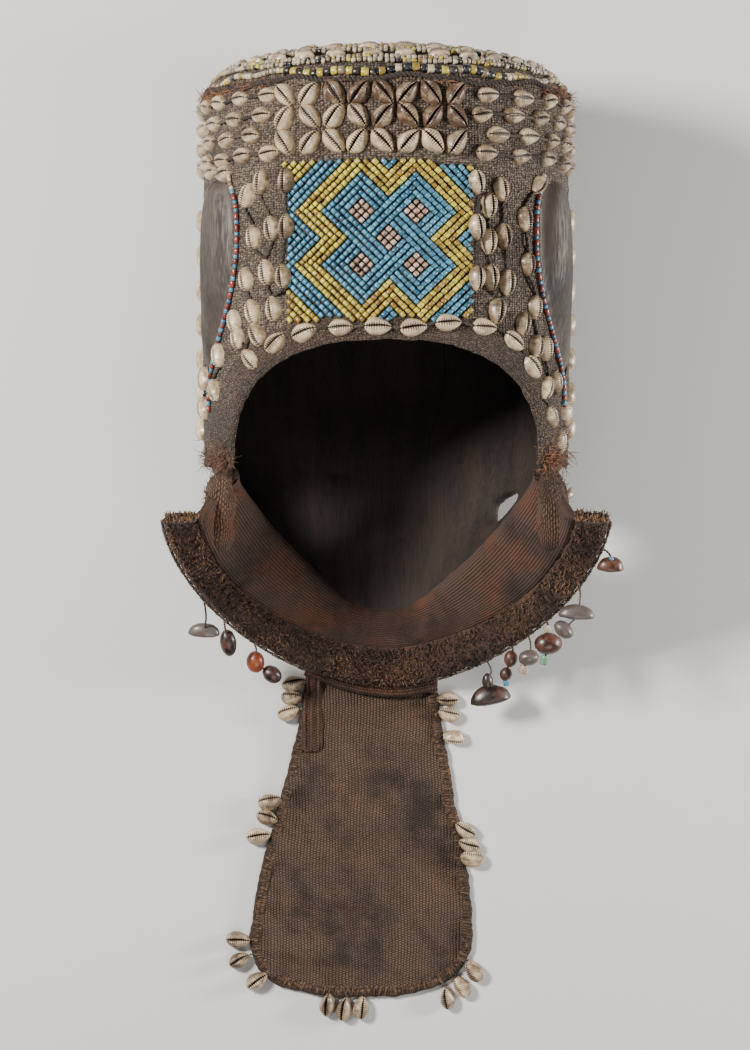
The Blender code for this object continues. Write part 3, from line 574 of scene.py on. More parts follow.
def grid_piece(name, places, keep, lay, material):
    """Open mesh through a grid of points, without the quads that aren't kept."""
    rows, sides = places.shape[:2]
    faces = ring_faces(rows, sides, closed=False)
    faces = faces[keep.ravel()]
    used = np.unique(faces)
    new_index = np.full(rows * sides, -1)
    new_index[used] = np.arange(len(used))
    piece = new_mesh(name, places.reshape(-1, 3)[used], new_index[faces])
    mark(piece.data, "lay", lay.reshape(-1, 3)[used])
    piece.data.materials.append(material)
    piece.data.polygons.foreach_set("use_smooth", [True] * len(piece.data.polygons))
    return piece


def rough_values(points, scale, seed=0.0):
    """Smooth random number, about -1 to 1, at each point."""
    flat = np.asarray(points).reshape(-1, 3)
    values = [noise.noise(Vector((p[0] * scale + seed, p[1] * scale, p[2] * scale))) for p in flat]
    return np.array(values).reshape(np.shape(points)[:-1])


def knot_rows_group():
    """Rows of small hard knots, each a little out of place and of its own tone."""
    group, into, out = new_group(
        "knot_rows", [("Vector", "Vector", None), ("Across", "Float", 0.0023), ("Along", "Float", 0.0016)],
        [("Knots", "Float"), ("Tone", "Float")])
    sway = add_node(group, "ShaderNodeTexNoise", Vector=into.outputs[0], Scale=120.0, Detail=3.0)
    moved = add_node(group, "ShaderNodeVectorMath", {"operation": "MULTIPLY_ADD"},
                     _0=sway.outputs["Color"], _1=(0.0012, 0.0012, 0.0012), _2=into.outputs[0]).outputs[0]
    parts = add_node(group, "ShaderNodeSeparateXYZ", Vector=moved)
    cells = add_node(group, "ShaderNodeCombineXYZ",
                     X=calculate(group, "DIVIDE", parts.outputs[0], into.outputs[1]),
                     Y=calculate(group, "DIVIDE", parts.outputs[1], into.outputs[2])).outputs[0]
    rows = add_node(group, "ShaderNodeTexVoronoi", Vector=cells, Scale=1.0, Randomness=0.48)
    tone = add_node(group, "ShaderNodeSeparateXYZ", Vector=rows.outputs["Color"]).outputs[0]
    group.links.new(spread(group, rows.outputs["Distance"], 0.80, 0.12), out.inputs["Knots"])
    group.links.new(spread(group, tone, 0.0, 1.0, 0.55, 1.1), out.inputs["Tone"])
    return group


KNOT_ROWS = knot_rows_group()


def knotted_net(name, dark, light, knot, depth):
    """Net of small hard raffia knots in rows, each a little different, furred with broken fibre."""
    material, tree, shader = new_material(name, Roughness=0.95, Sheen_Weight=0.03, Sheen_Roughness=0.5)
    place = place_of(tree)
    knots = use_group(tree, KNOT_ROWS, Vector=marked(tree, "lay", "Vector"), Across=knot[0], Along=knot[1])
    fuzz = use_group(tree, FIBRES, Vector=stretched(tree, place, (1.0, 0.55, 1.0)), Scale=1500.0).outputs[0]
    lit = calculate(tree, "MULTIPLY", knots.outputs[1], spread(tree, fuzz, 0.25, 0.75, 0.35, 1.15))
    lit = calculate(tree, "MULTIPLY", knots.outputs[0], lit)
    colour = blend_colours(tree, lit, dark, light)
    colour, _ = dirty(tree, place, colour, dark, 0.60, Start=0.38, Full=0.72)
    tree.links.new(colour, shader.inputs["Base Color"])
    height = calculate(tree, "ADD", knots.outputs[0], calculate(tree, "MULTIPLY", fuzz, 0.7))
    bump(tree, shader, height, depth, 1.0)
    return material


cap_turns = np.linspace(-180, 180, int(0.83 / CAP_MESH))
cap_ys = np.linspace(CAP_FOOT_Y, RIM_Y + 0.001, int((RIM_Y - CAP_FOOT_Y) / CAP_MESH))
turns, ys = np.meshgrid(cap_turns, cap_ys)
cap_places = head_point(turns, ys, CLOTH_LIFT)
lumps = rough_values(cap_places, 130) + 0.8 * rough_values(cap_places, 310, 5.0)
cap_places = head_point(turns, ys, CLOTH_LIFT + 0.0008 * lumps)
quad_turns = np.abs((turns[1:, 1:] + turns[:-1, :-1]) / 2)
quad_ys = (ys[1:, 1:] + ys[:-1, :-1]) / 2
quad_x = np.abs(head_point(quad_turns, quad_ys, CLOTH_LIFT)[..., 0])
arch_right = arch[len(arch) // 2:]
arch_edge = np.interp(quad_x, arch_right[:, 0], arch_right[:, 1], right=-1)
in_arch = (quad_ys < arch_edge) & (quad_turns < 90)
up_ear = np.abs(2 * (quad_ys - EAR_FOOT_Y) / (EAR_TOP_Y - EAR_FOOT_Y) - 1)
in_ear = ((up_ear < 0.97) & (quad_turns > follow(EAR_BACK_TURN, quad_ys) + 0.5)
          & (quad_turns < EAR_FRONT_TURN - 1 - 16 * up_ear ** 5))
in_front = (quad_turns > CAP_FRONT_TURN) & (quad_ys < CAP_BAND_Y)
cap_lay = np.stack((turns / 360 * CAP_ROUND, ys, np.zeros_like(ys)), -1)
CAP_CLOTH = knotted_net("grey_knotted_raffia", (0.012, 0.007, 0.005, 1), (0.350, 0.262, 0.190, 1),
                        KNOT_SIZE, 0.0016)
cap = grid_piece("raffia_cap_cloth", cap_places, ~(in_arch | in_ear | in_front), cap_lay, CAP_CLOTH)
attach(cap, "root")
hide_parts("raffia_cap")


class Bundle:
    """Many small shapes that are sewn or strung together and end up as one mesh."""

    def __init__(self):
        self.points, self.faces, self.marks, self.picks = [], [], [], []
        self.count = 0

    def add(self, points, faces, tone=0.5, lay=None, pick=0):
        points = np.asarray(points)
        self.points.append(points)
        self.faces += [[i + self.count for i in face] for face in faces]
        lay = np.zeros((len(points), 3)) if lay is None else lay
        self.marks.append(np.column_stack((np.broadcast_to(tone, len(points)), lay)))
        self.picks += [pick] * (len(self.faces) - len(self.picks))
        self.count += len(points)

    def piece(self, name, *materials):
        made = new_mesh(name, np.concatenate(self.points), self.faces)
        marks = np.concatenate(self.marks)
        mark(made.data, "tone", marks[:, 0])
        mark(made.data, "lay", marks[:, 1:])
        for material in materials:
            made.data.materials.append(material)
        made.data.polygons.foreach_set("material_index", self.picks)
        made.data.polygons.foreach_set("use_smooth", [True] * len(made.data.polygons))
        return made


def tube(path, radii, sides=6):
    """Points and faces of a tube along a path, its ends drawn shut."""
    path = np.asarray(path, float)
    radii = np.broadcast_to(radii, len(path))
    along = unit(np.gradient(path, axis=0))
    side = np.cross(along[0], (0.31, 0.22, 0.93))
    angle = np.arange(sides) * 2 * np.pi / sides
    rings = []
    for place, ahead, radius in zip(path, along, radii):
        side = side - ahead * side.dot(ahead)
        side = side / np.linalg.norm(side)
        other = np.cross(ahead, side)
        rings.append(place + radius * (np.cos(angle)[:, None] * side + np.sin(angle)[:, None] * other))
    return np.concatenate(rings), capped_faces(len(path), sides)


def smooth_path(points, count):
    """Evenly spaced points on a smooth curve through a few points."""
    points = np.asarray(points, float)
    steps = np.r_[0, np.cumsum(np.linalg.norm(np.diff(points, axis=0), axis=1))]
    at = np.linspace(0, steps[-1], count)
    return np.stack([follow(np.column_stack((steps, points[:, i])), at) for i in range(3)], -1)


def twisted_cord(bundle, points, radius, tone=0.5, count=None, turn_length=6.0, sides=4, pick=0):
    """Two threads laid round each other along a path; turn_length is in radii."""
    points = np.asarray(points, float)
    length = np.linalg.norm(np.diff(points, axis=0), axis=1).sum()
    count = count or max(4, int(length / radius / 1.3))
    path = smooth_path(points, count)
    along = unit(np.gradient(path, axis=0))
    side = unit(np.cross(along, (0.12, 0.33, 0.93)))
    other = np.cross(along, side)
    angle = np.linspace(0, length, count) / (turn_length * radius) * 2 * np.pi
    for half in (0, np.pi):
        offset = np.cos(angle + half)[:, None] * side + np.sin(angle + half)[:, None] * other
        strand, faces = tube(path + 0.5 * radius * offset, 0.6 * radius, sides)
        bundle.add(strand, faces, tone, lay=strand, pick=pick)


def cord_fibre(name, dark, light, rough=0.85):
    """Loose raffia fibre or cord; its tone goes from the dark colour to the light one."""
    material, tree, shader = new_material(name, Roughness=rough, Sheen_Weight=0.05)
    fine = use_group(tree, FIBRES, Vector=place_of(tree), Scale=1200.0).outputs[0]
    tone = calculate(tree, "MULTIPLY", marked(tree, "tone"), spread(tree, fine, 0.25, 0.75, 0.5, 1.2))
    tree.links.new(blend_colours(tree, tone, dark, light), shader.inputs["Base Color"])
    bump(tree, shader, fine, 0.0003, 0.6)
    return material


def hairs(bundle, rng, roots, directions, lengths, radius, droop=0.4, tones=(0.2, 1.0), bends=5,
          pick=0):
    """Frayed fibres that leave their roots in about one direction and curl as they go."""
    for root, direction, length in zip(roots, directions, lengths):
        heading = unit(direction + rng.normal(0, 0.35, 3))
        curl = rng.normal(0, droop, 3)
        path = [np.array(root)]
        for _ in range(bends - 1):
            heading = unit(heading + curl + rng.normal(0, 0.25, 3))
            path.append(path[-1] + heading * length / (bends - 1))
        points, faces = tube(path, radius * np.linspace(1, 0.35, bends), 3)
        bundle.add(points, faces, rng.uniform(*tones), pick=pick)


def turn_at(x, y, offset):
    """Turn at which the back of the head, plus an offset, is x from the middle."""
    share = np.clip(np.abs(x) / (follow(HALF_WIDTH, y) + offset), 0, 0.9995)
    return np.sign(x) * np.degrees(np.arcsin(share ** (SECTION_POWER / 2)))


band_rows = []
for grow in np.linspace(0.0006, BAND_WIDTH, BAND_ROWS):
    band_x, band_y = arch_outline(grow, 150)[1:-1].T
    band_x, band_y = np.r_[band_x[0], band_x, band_x[-1]], np.r_[CAP_FOOT_Y, band_y, CAP_FOOT_Y]
    band_y = np.maximum(band_y, CAP_FOOT_Y + 0.0002)
    swell = 0.0014 * math.sin(math.pi * min(1, grow / BAND_WIDTH * 0.92)) ** 0.6
    band_rows.append(head_point(turn_at(band_x, band_y, CLOTH_LIFT), band_y, CLOTH_LIFT + swell))
band_grid = np.array(band_rows)[:, ::-1]
band_grid += rough_values(band_grid, 55)[..., None] * (0.0004, 0.0004, 0.0012)
band_grid += rough_values(band_grid, 240, 5.0)[..., None] * (0.0002, 0.0002, 0.0007)
band_steps = np.linalg.norm(np.diff(band_grid[BAND_ROWS // 2], axis=0), axis=1)
band_lay = np.stack(np.broadcast_arrays(np.r_[0, np.cumsum(band_steps)][None],
                                        np.linspace(0, BAND_WIDTH, BAND_ROWS)[:, None], 0.0), -1)
BAND_CLOTH = knotted_net("dark_edge_band", (0.010, 0.006, 0.004, 1), (0.185, 0.120, 0.082, 1),
                         (0.0019, 0.0013), 0.0012)
whole_band = np.ones((BAND_ROWS - 1) * (band_grid.shape[1] - 1), bool)
arch_band = grid_piece("arch_edge_band", band_grid, whole_band, band_lay, BAND_CLOTH)
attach(arch_band, "root")
arch_x, arch_y = arch_outline(0.0005, 150)[1:-1].T
arch_x, arch_y = np.r_[arch_x[0], arch_x, arch_x[-1]], np.r_[CAP_FOOT_Y, arch_y, CAP_FOOT_Y]
hem_path = head_point(turn_at(arch_x, arch_y, CLOTH_LIFT), arch_y, CLOTH_LIFT - 0.0004)
cap_edges = Bundle()
rng = np.random.default_rng(4)
edge_points, edge_faces = tube(hem_path, 0.0019 + 0.0010 * rough_values(hem_path, 160), 8)
hem_lay = np.repeat(np.column_stack((np.arange(len(hem_path)) * 0.0021,
                                     np.zeros(len(hem_path)), np.zeros(len(hem_path)))), 8, axis=0)
hem_lay[:, 1] = np.tile(np.arange(8) * 0.0013, len(hem_path))
cap_edges.add(edge_points, edge_faces, 0.5, lay=hem_lay)
for side in (-1, 1):
    front_ys = np.linspace(CAP_FOOT_Y, CAP_BAND_Y, 60)
    front = head_point(side * np.full(60, CAP_FRONT_TURN + 0.3), front_ys, CLOTH_LIFT - 0.0006)
    points, faces = tube(front, 0.0019, 8)
    cap_edges.add(points, faces, 0.5, lay=points)
    foot_turns = np.linspace(57.8, CAP_FRONT_TURN, 40)
    foot = head_point(side * foot_turns, np.full(40, CAP_FOOT_Y), CLOTH_LIFT - 0.0004)
    points, faces = tube(foot, 0.0022 + 0.0009 * rough_values(foot, 260), 8)
    cap_edges.add(points, faces, 0.5, lay=points)
band = head_point(np.linspace(CAP_FRONT_TURN, 360 - CAP_FRONT_TURN, 120),
                  np.full(120, CAP_BAND_Y), CLOTH_LIFT - 0.0006)
points, faces = tube(band, 0.0019, 8)
cap_edges.add(points, faces, 0.5, lay=points)
cap_hem = cap_edges.piece("cap_rolled_hem", BAND_CLOTH)
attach(cap_hem, "root")
RUSTY = cord_fibre("rusty_raffia", (0.024, 0.012, 0.008, 1), (0.400, 0.165, 0.075, 1))
cap_fray = Bundle()
for side, count, tones in FRAY:
    fray_turns = side * (57 + rng.exponential(9, count))
    fray_ys = CAP_FOOT_Y + rng.exponential(0.0050, count) + 0.0005
    roots, acrosses, outs = head_frame(fray_turns, fray_ys, CLOTH_LIFT)
    ways = outs * 0.5 + acrosses * rng.normal(0, 0.8, (count, 1)) + np.array((0, -0.9, 0))
    hairs(cap_fray, rng, roots, ways, rng.uniform(0.004, 0.013, count), 0.00034, tones=tones)
frayed_foot = cap_fray.piece("cap_frayed_foot", RUSTY)
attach(frayed_foot, "root")

# Cowries on the cap. Whole small shells lie on their backs, each sewn down through its ends and
# linked to the next by twisted raffia; above the bead panel they meet point to point in flowers.
COWRIE_LENGTH = 0.0185
COWRIE_WIDTH = 0.0122
COWRIE_HEIGHT = 0.0070
OVER_PANEL_LIFT = 0.0034
OVER_PANEL_PX = (285.6, 282.6, 478)
FRONT_COWRIE_YS = (0.070, 0.095, 0.120, 0.145, 0.170, 0.195, 0.220)
FRONT_COWRIE_TURN = 95.5
TOOTH_PITCH = 0.00160
PHOTO_CENTRE = (375, 525)
PHOTO_FOCAL = 3382
CAMERA_HEIGHT = 2.57
CAMERA_X = -0.008
FLOWER_ROWS_Y = (0.2955, 0.2800, 0.2625)
FLOWER_COLUMNS = 8
FLOWER_FIRST_X = -0.0690
FLOWER_STEP_X = 0.01670
ROUND_ROWS = {-1: ((0.2965, 37.5, 12.5), (0.2830, 40.0, 13.0), (0.2695, 44.5, 12.6),
                   (0.2560, 37.0, 11.6)),
              1: ((0.2965, 31.5, 13.8), (0.2830, 29.3, 12.4), (0.2695, 35.3, 12.8),
                  (0.2560, 31.0, 13.6))}
LEFT_SEEN = ((285.6, 180, 88), (285.6, 226, 90), (282.6, 276, 96), (258, 181, 80), (268, 228, 90),
             (263, 272, 98), (270, 308.5, 100), (243.5, 195, 72), (250, 237, 96), (242, 279, 98),
             (249, 311.5, 100), (230, 321, 102), (233.6, 338, 96), (253.5, 334.5, 118),
             (246.6, 359, 130), (214, 355, 96), (200, 379, 96), (210, 390, 116),
             (199.5, 408, 112), (195, 429, 96), (220, 173, 12), (207, 172, 8))
RIGHT_SEEN = ((478, 182, 92), (478, 227, 90), (478, 278, 90), (492.5, 205, 92), (492, 241, 90),
              (494, 277, 88), (500.6, 311, 76), (505, 189, 94), (507.5, 236, 90), (511, 282.5, 84),
              (527, 324, 70), (529, 219, 92), (532, 264, 88), (539, 307, 84), (540, 347, 78),
              (549.5, 348, 86), (543, 185, 40), (550, 388, 66), (560, 382, 96), (555, 417, 108),
              (570, 414, 90), (564, 441, 96))
ARCH_SEEN = ((273, 342, 36), (302.5, 332, 18), (340, 327, 2), (378, 326, -2), (414.5, 327, 6),
             (450, 322, 2), (487.5, 327, -4), (517, 341, -36), (536, 367, -50))


def cowrie_form(whole=False):
    """Shell lying on its back: two lips round a slit; its marks count across from the slit."""
    v = np.array((-1, -0.90, -0.70, -0.46, -0.27, -0.13, -0.045, 0.045, 0.13, 0.27, 0.46, 0.70, 0.90, 1))
    u = np.sin(np.linspace(-np.pi / 2, np.pi / 2, 19)) * 0.55 + np.linspace(-1, 1, 19) * 0.45
    u, v = np.meshgrid(u, v, indexing="ij")
    outline = (1 - np.abs(u) ** 2.05) ** 0.68 * (1 - 0.22 * u) + 0.03 * np.exp(-((u + 0.3) / 0.3) ** 2)
    x = u * COWRIE_LENGTH / 2
    off_middle = (0.13 + 0.06 * np.sin(2.0 * u)) * (1 - np.abs(v)) * (1 - u**4)
    y = (v + off_middle) * outline * COWRIE_WIDTH / 2
    dome = (1 - np.abs(v) ** 2.4) ** 0.55 * (1 - np.abs(u) ** 3.0) ** 0.42
    cleft = np.exp(-(v / 0.12) ** 2) * (1 - 0.3 * np.abs(u) ** 4)
    lips = np.exp(-((np.abs(v) - 0.34) / 0.20) ** 2)
    z = COWRIE_HEIGHT * dome * (0.92 + 0.09 * lips - 0.52 * cleft)
    points = np.stack((x, y, z), -1).reshape(-1, 3)
    rows, sides = u.shape
    faces = ring_faces(rows, sides, closed=False)
    marks = np.stack((x, v, u), -1).reshape(-1, 3)
    if whole:
        under = points * (1, 1, 0)
        back = 0.62 * COWRIE_HEIGHT * ((1 - np.abs(v) ** 2.2) ** 0.5 * (1 - np.abs(u) ** 2.6) ** 0.5)
        under[:, 2] = -back.ravel() - 0.00005
        faces = np.concatenate((faces, faces[:, ::-1] + len(points)))
        points = np.concatenate((points, under))
        marks = np.concatenate((marks, marks * (0, 0, 1) + (0, 0.9, 0)))
    return points, faces, marks


SEWN_COWRIE = cowrie_form()


def seen_on_head(px, py, offset):
    """Turn and y of the spot on the head that a pixel of the photograph shows."""
    z = BACK_Z
    for _ in range(8):
        scale = (CAMERA_HEIGHT - z) / PHOTO_FOCAL
        x = (px - PHOTO_CENTRE[0]) * scale + CAMERA_X
        y = (PHOTO_CENTRE[1] - py) * scale
        turn = turn_at(x, y, offset)
        z = float(head_point(turn, y, offset)[2])
    return float(turn), y


def copy_form(form, place, length_axis, out, size=1.0):
    side = np.cross(out, length_axis)
    return place + size * (form[:, :1] * length_axis + form[:, 1:2] * side + form[:, 2:3] * out)


def sew_cowrie(bundle, turn, y, tilt, tone, size=1.0, offset=CLOTH_LIFT):
    """Adds a cowrie to the cap; tilt is its long axis, in degrees from across. Returns its ends."""
    place, across, out = head_frame(turn, y, offset - 0.0002)
    up = np.cross(out, across)
    angle = math.radians(tilt)
    length_axis = across * math.cos(angle) + up * math.sin(angle)
    points, faces, marks = SEWN_COWRIE
    bundle.add(copy_form(points, place, length_axis, out, size), faces, tone, lay=marks)
    reach = length_axis * size * COWRIE_LENGTH / 2 * 0.96
    lift = out * 0.0016
    return place - reach + lift, place + reach + lift


def shell_material():
    """Cream shell stained by handling; slit and tooth grooves painted dark as shade, edges browner as shade
    and grime.
    """
    material, tree, shader = new_material("cowrie_shell", Roughness=0.36, Coat_Weight=0.3,
                                          Coat_Roughness=0.22)
    place = place_of(tree)
    tone = marked(tree, "tone")
    parts = add_node(tree, "ShaderNodeSeparateXYZ", Vector=marked(tree, "lay", "Vector"))
    away = calculate(tree, "ABSOLUTE", parts.outputs[1])
    stains = cloudy(tree, place, 240, 4, 0.65)
    fine = cloudy(tree, place, 1000, 3, 0.6)
    wave = calculate(tree, "COSINE", calculate(tree, "MULTIPLY", parts.outputs[0],
                                               2 * math.pi / TOOTH_PITCH))
    # Between the teeth the shell is painted brown: painted shade in the grooves.
    reach = spread(tree, away, 0.62, 0.30)
    grooves = calculate(tree, "MULTIPLY", spread(tree, wave, 0.35, -0.45), reach)
    # The slit is painted near black: painted shade inside the shell's opening.
    slit = spread(tree, calculate(tree, "ADD", away, calculate(tree, "MULTIPLY", wave, 0.022)),
                  0.150, 0.095)
    brown = blend_colours(tree, stains, (0.014, 0.008, 0.006, 1), (0.140, 0.078, 0.046, 1))
    cream = blend_colours(tree, stains, (0.360, 0.220, 0.095, 1), (0.860, 0.750, 0.540, 1))
    blotches = spread(tree, cloudy(tree, place, 95, 3, 0.6), 0.35, 0.65, -0.34, 0.28)
    colour = blend_colours(tree, calculate(tree, "ADD", tone, blotches), brown, cream)
    # The outer edges are painted browner: painted shade where the shell curves away, mixed with grime.
    rim = calculate(tree, "MULTIPLY", spread(tree, away, 0.60, 1.0, 0.0, 0.75),
                    spread(tree, stains, 0.3, 0.6, 1.0, 0.4))
    colour = blend_colours(tree, rim, colour, (0.120, 0.060, 0.028, 1))
    grime = calculate(tree, "MULTIPLY", spread(tree, stains, 0.46, 0.34),
                      calculate(tree, "SUBTRACT", 1.1, tone))
    colour = blend_colours(tree, grime, colour, (0.050, 0.036, 0.030, 1))
    # These two blends paint the shade in the grooves and in the slit.
    colour = blend_colours(tree, calculate(tree, "MULTIPLY", grooves, 0.88), colour,
                           (0.070, 0.030, 0.015, 1))
    colour = blend_colours(tree, slit, colour, (0.007, 0.004, 0.003, 1))
    tree.links.new(colour, shader.inputs["Base Color"])
    tree.links.new(spread(tree, fine, 0.3, 0.7, 0.26, 0.48), shader.inputs["Roughness"])
    height = calculate(tree, "SUBTRACT", calculate(tree, "MULTIPLY", fine, 0.15),
                       calculate(tree, "ADD", grooves, slit))
    bump(tree, shader, height, 0.00035, 0.8)
    return material


SHELL = shell_material()
rng = np.random.default_rng(11)
cap_cowries = {"flower": Bundle(), "left": Bundle(), "right": Bundle()}
links = Bundle()
flower_ends = []
for row, y in enumerate(FLOWER_ROWS_Y):
    for column in range(FLOWER_COLUMNS):
        x = FLOWER_FIRST_X + FLOWER_STEP_X * column + rng.normal(0, 0.0005)
        tilt = (-52 if (row + column) % 2 == 0 else 52) + rng.normal(0, 3)
        stained = (column > 1, column > 3, column > 6)[row]
        tone = float(np.clip((0.08 if stained else 0.88) + rng.normal(0, 0.12), 0.0, 1))
        turn = float(turn_at(x, y, CLOTH_LIFT))
        flower_ends.append(sew_cowrie(cap_cowries["flower"], turn, y, tilt, tone,
                                      size=rng.uniform(1.08, 1.16)))
for side, word in SIDES:
    seen = []
    for y, first, step in ROUND_ROWS[side]:
        turn = first
        previous = None
        while turn < 178:
            # Cowries on the right get darker tones than those on the left: painted shade on the side away
            # from the light.
            tone = rng.uniform(0.62, 1.0) if side < 0 else rng.uniform(0.42, 0.9)
            spot_y = y + rng.normal(0, 0.0006)
            ends = sew_cowrie(cap_cowries[word], side * turn, spot_y, rng.normal(0, 5), tone,
                              size=rng.uniform(0.88, 1.0))
            ends = ends if side > 0 else ends[::-1]
            if previous is not None and np.linalg.norm(ends[0] - previous) > 0.002:
                twisted_cord(links, [previous, ends[0]], 0.0015, rng.uniform(0.0, 0.25),
                             count=14, turn_length=1.6)
            previous = ends[1]
            turn += step * (0.84 if turn > 62 else 1.0) + rng.normal(0, 0.3)
    for px, py, tilt in (LEFT_SEEN if side < 0 else RIGHT_SEEN):
        turn, y = seen_on_head(px, py, CLOTH_LIFT + COWRIE_HEIGHT * 0.7)
        # Darker tones on the right side are painted shade, as above.
        tone = rng.uniform(0.62, 1.0) if side < 0 else rng.uniform(0.45, 0.95)
        lift = CLOTH_LIFT
        if px in OVER_PANEL_PX:
            tone = rng.uniform(0.25, 0.6)
            lift = CLOTH_LIFT + OVER_PANEL_LIFT
        tilt = tilt if side < 0 else tilt - 180
        seen.append(sew_cowrie(cap_cowries[word], turn, y, tilt + rng.normal(0, 3), tone,
                               rng.uniform(0.93, 1.04), lift))
    feet = [min(pair, key=lambda p: p[1]) for pair in seen]
    tops = [max(pair, key=lambda p: p[1]) for pair in seen]
    for foot in feet:
        below = [top for top in tops if 0.001 < foot[1] - top[1] < 0.026
                 and abs(top[0] - foot[0]) < 0.008]
        if below:
            nearest = min(below, key=lambda top: np.linalg.norm(top - foot))
            if np.linalg.norm(nearest - foot) > 0.002:
                twisted_cord(links, [foot, (foot + nearest) / 2 + rng.normal(0, 0.0007, 3), nearest],
                             0.0014, rng.uniform(0.0, 0.10))
previous = None
for px, py, tilt in ARCH_SEEN:
    turn, y = seen_on_head(px, py, CLOTH_LIFT + COWRIE_HEIGHT * 0.7)
    word = "left" if px < PHOTO_CENTRE[0] else "right"
    ends = sew_cowrie(cap_cowries[word], turn, y, tilt, rng.uniform(0.75, 1.0),
                      size=rng.uniform(1.0, 1.12))
    if previous is not None:
        twisted_cord(links, [previous, ends[0]], 0.0014, rng.uniform(0.0, 0.2))
    previous = ends[1]
for front_y in FRONT_COWRIE_YS:
    for side, word in SIDES:
        sew_cowrie(cap_cowries[word], side * FRONT_COWRIE_TURN, front_y, 90 + rng.normal(0, 4),
                   rng.uniform(0.6, 1))
for word, bundle in cap_cowries.items():
    sewn = bundle.piece(f"{word}_cap_cowries", SHELL)
    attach(sewn, "root")
CORD = cord_fibre("twisted_raffia", (0.016, 0.010, 0.007, 1), (0.30, 0.23, 0.17, 1))
cowrie_links = links.piece("cowrie_links", CORD)
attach(cowrie_links, "root")

# Bead panel. Short glass beads are threaded on slanting strings that turn corners over and under
# each other: a blue knot of crossing bands, three strings wide, framed by yellow and again blue.
STRING_PITCH = 0.00433
PANEL_CENTRE = (0.0015, 0.1960)
PANEL_LEFT_X = -0.0675
PANEL_RIGHT_X = 0.0570
PANEL_TOP_Y = 0.2505
PANEL_FOOT_Y = 0.1415
KNOT_EYES = ((0, 0), (6, 0), (-6, 0), (0, 6), (0, -6))
BEAD_LIFT = 0.0028
BEAD_LENGTH = 0.0038
BLUE, YELLOW, PINK = 0, 1, 2
STRINGS = range(-24, 25)
PAST_END = 99


def bead_form(sides=8, chamfer=0.10, plain=False):
    """Short cylinder 1 long and 1 across with rounded ends, its hole along x."""
    profile = ((-0.5, 0.34), (-0.5 + chamfer * 0.3, 0.44), (-0.5 + chamfer, 0.5), (0.5 - chamfer, 0.5),
               (0.5 - chamfer * 0.3, 0.44), (0.5, 0.34))
    if plain:
        profile = ((-0.5, 0.38), (-0.5 + chamfer, 0.5), (0.5 - chamfer, 0.5), (0.5, 0.38))
    angle = np.arange(sides) * 2 * np.pi / sides
    rings = [np.column_stack((np.full(sides, x), r * np.cos(angle), r * np.sin(angle)))
             for x, r in profile]
    return np.concatenate(rings), capped_faces(len(profile), sides)


BEAD = bead_form()


def add_bead(bundle, place, axis, out, length, width, tone, pick=0, form=BEAD):
    axis, out = unit(axis), unit(out)
    side = np.cross(out, axis)
    points = (form[0][:, :1] * axis * length + form[0][:, 1:2] * side * width
              + form[0][:, 2:3] * out * width + place)
    bundle.add(points, form[1], tone, pick=pick)


def glass_bead(name, dark, light, rough=0.32):
    """Opaque glass, a little different from bead to bead, dirty in its dull spots."""
    material, tree, shader = new_material(name, Roughness=rough, Coat_Weight=0.3, Coat_Roughness=0.2)
    place = place_of(tree)
    colour = blend_colours(tree, marked(tree, "tone"), dark, light)
    colour, dirt = dirty(tree, place, colour, (0.045, 0.032, 0.024, 1), 0.75, Scale=420.0, Start=0.44)
    tree.links.new(colour, shader.inputs["Base Color"])
    tree.links.new(spread(tree, dirt.outputs[1], 0.4, 0.7, 0.24, 0.60), shader.inputs["Roughness"])
    bump(tree, shader, dirt.outputs[1], 0.00015, 0.4)
    return material


BLUE_GLASS = glass_bead("blue_glass", (0.014, 0.080, 0.140, 1), (0.085, 0.285, 0.420, 1))
YELLOW_GLASS = glass_bead("yellow_glass", (0.200, 0.105, 0.016, 1), (0.610, 0.520, 0.070, 1))
PINK_GLASS = glass_bead("pink_glass", (0.260, 0.140, 0.095, 1), (0.580, 0.430, 0.340, 1))
BLACK_GLASS = glass_bead("black_glass", (0.004, 0.004, 0.005, 1), (0.020, 0.022, 0.030, 1))
RED_GLASS = glass_bead("red_glass", (0.080, 0.010, 0.008, 1), (0.280, 0.045, 0.032, 1))
WHITE_GLASS = glass_bead("white_glass", (0.160, 0.120, 0.075, 1), (0.600, 0.520, 0.360, 1))


def knot_bead(u, w):
    """Colour and string direction of the knot at (u, w), counted in strings from its middle."""
    away = [(u - eye_u, w - eye_w) for eye_u, eye_w in KNOT_EYES]
    du, dw = min(away, key=lambda a: (round(max(abs(a[0]), abs(a[1])), 3), a[0] ** 2 + a[1] ** 2))
    reach = max(abs(du), abs(dw))
    along_u = abs(dw) > abs(du)
    if reach < 4.5 and 1.5 < abs(u) < 4.5 and 1.5 < abs(w) < 4.5:
        along_u = u * w > 0
    if reach < 1.5:
        return PINK, True
    if reach < 4.5 or 7.5 < reach < 10.5:
        return BLUE, along_u
    if reach < 7.5 or abs(u + w) > 13 or abs(u + w) * 2 > abs(u - w):
        return YELLOW, along_u
    return BLUE, along_u


panel = Bundle()
rng = np.random.default_rng(21)
diagonal = math.sqrt(0.5)


def on_panel(u, w):
    """Point of the panel, seen flat, for string counts up-right and up-left."""
    return (PANEL_CENTRE[0] + (u - w) * STRING_PITCH * diagonal,
            PANEL_CENTRE[1] + (u + w) * STRING_PITCH * diagonal)


def within_panel(x, y):
    wave = 0.0012 * math.sin(x * 130) + 0.0010 * math.sin(y * 170)
    return (PANEL_LEFT_X + wave < x < PANEL_RIGHT_X + wave
            and PANEL_FOOT_Y + wave < y < PANEL_TOP_Y + wave - 0.0045 * max(x - 0.030, 0) / 0.028)


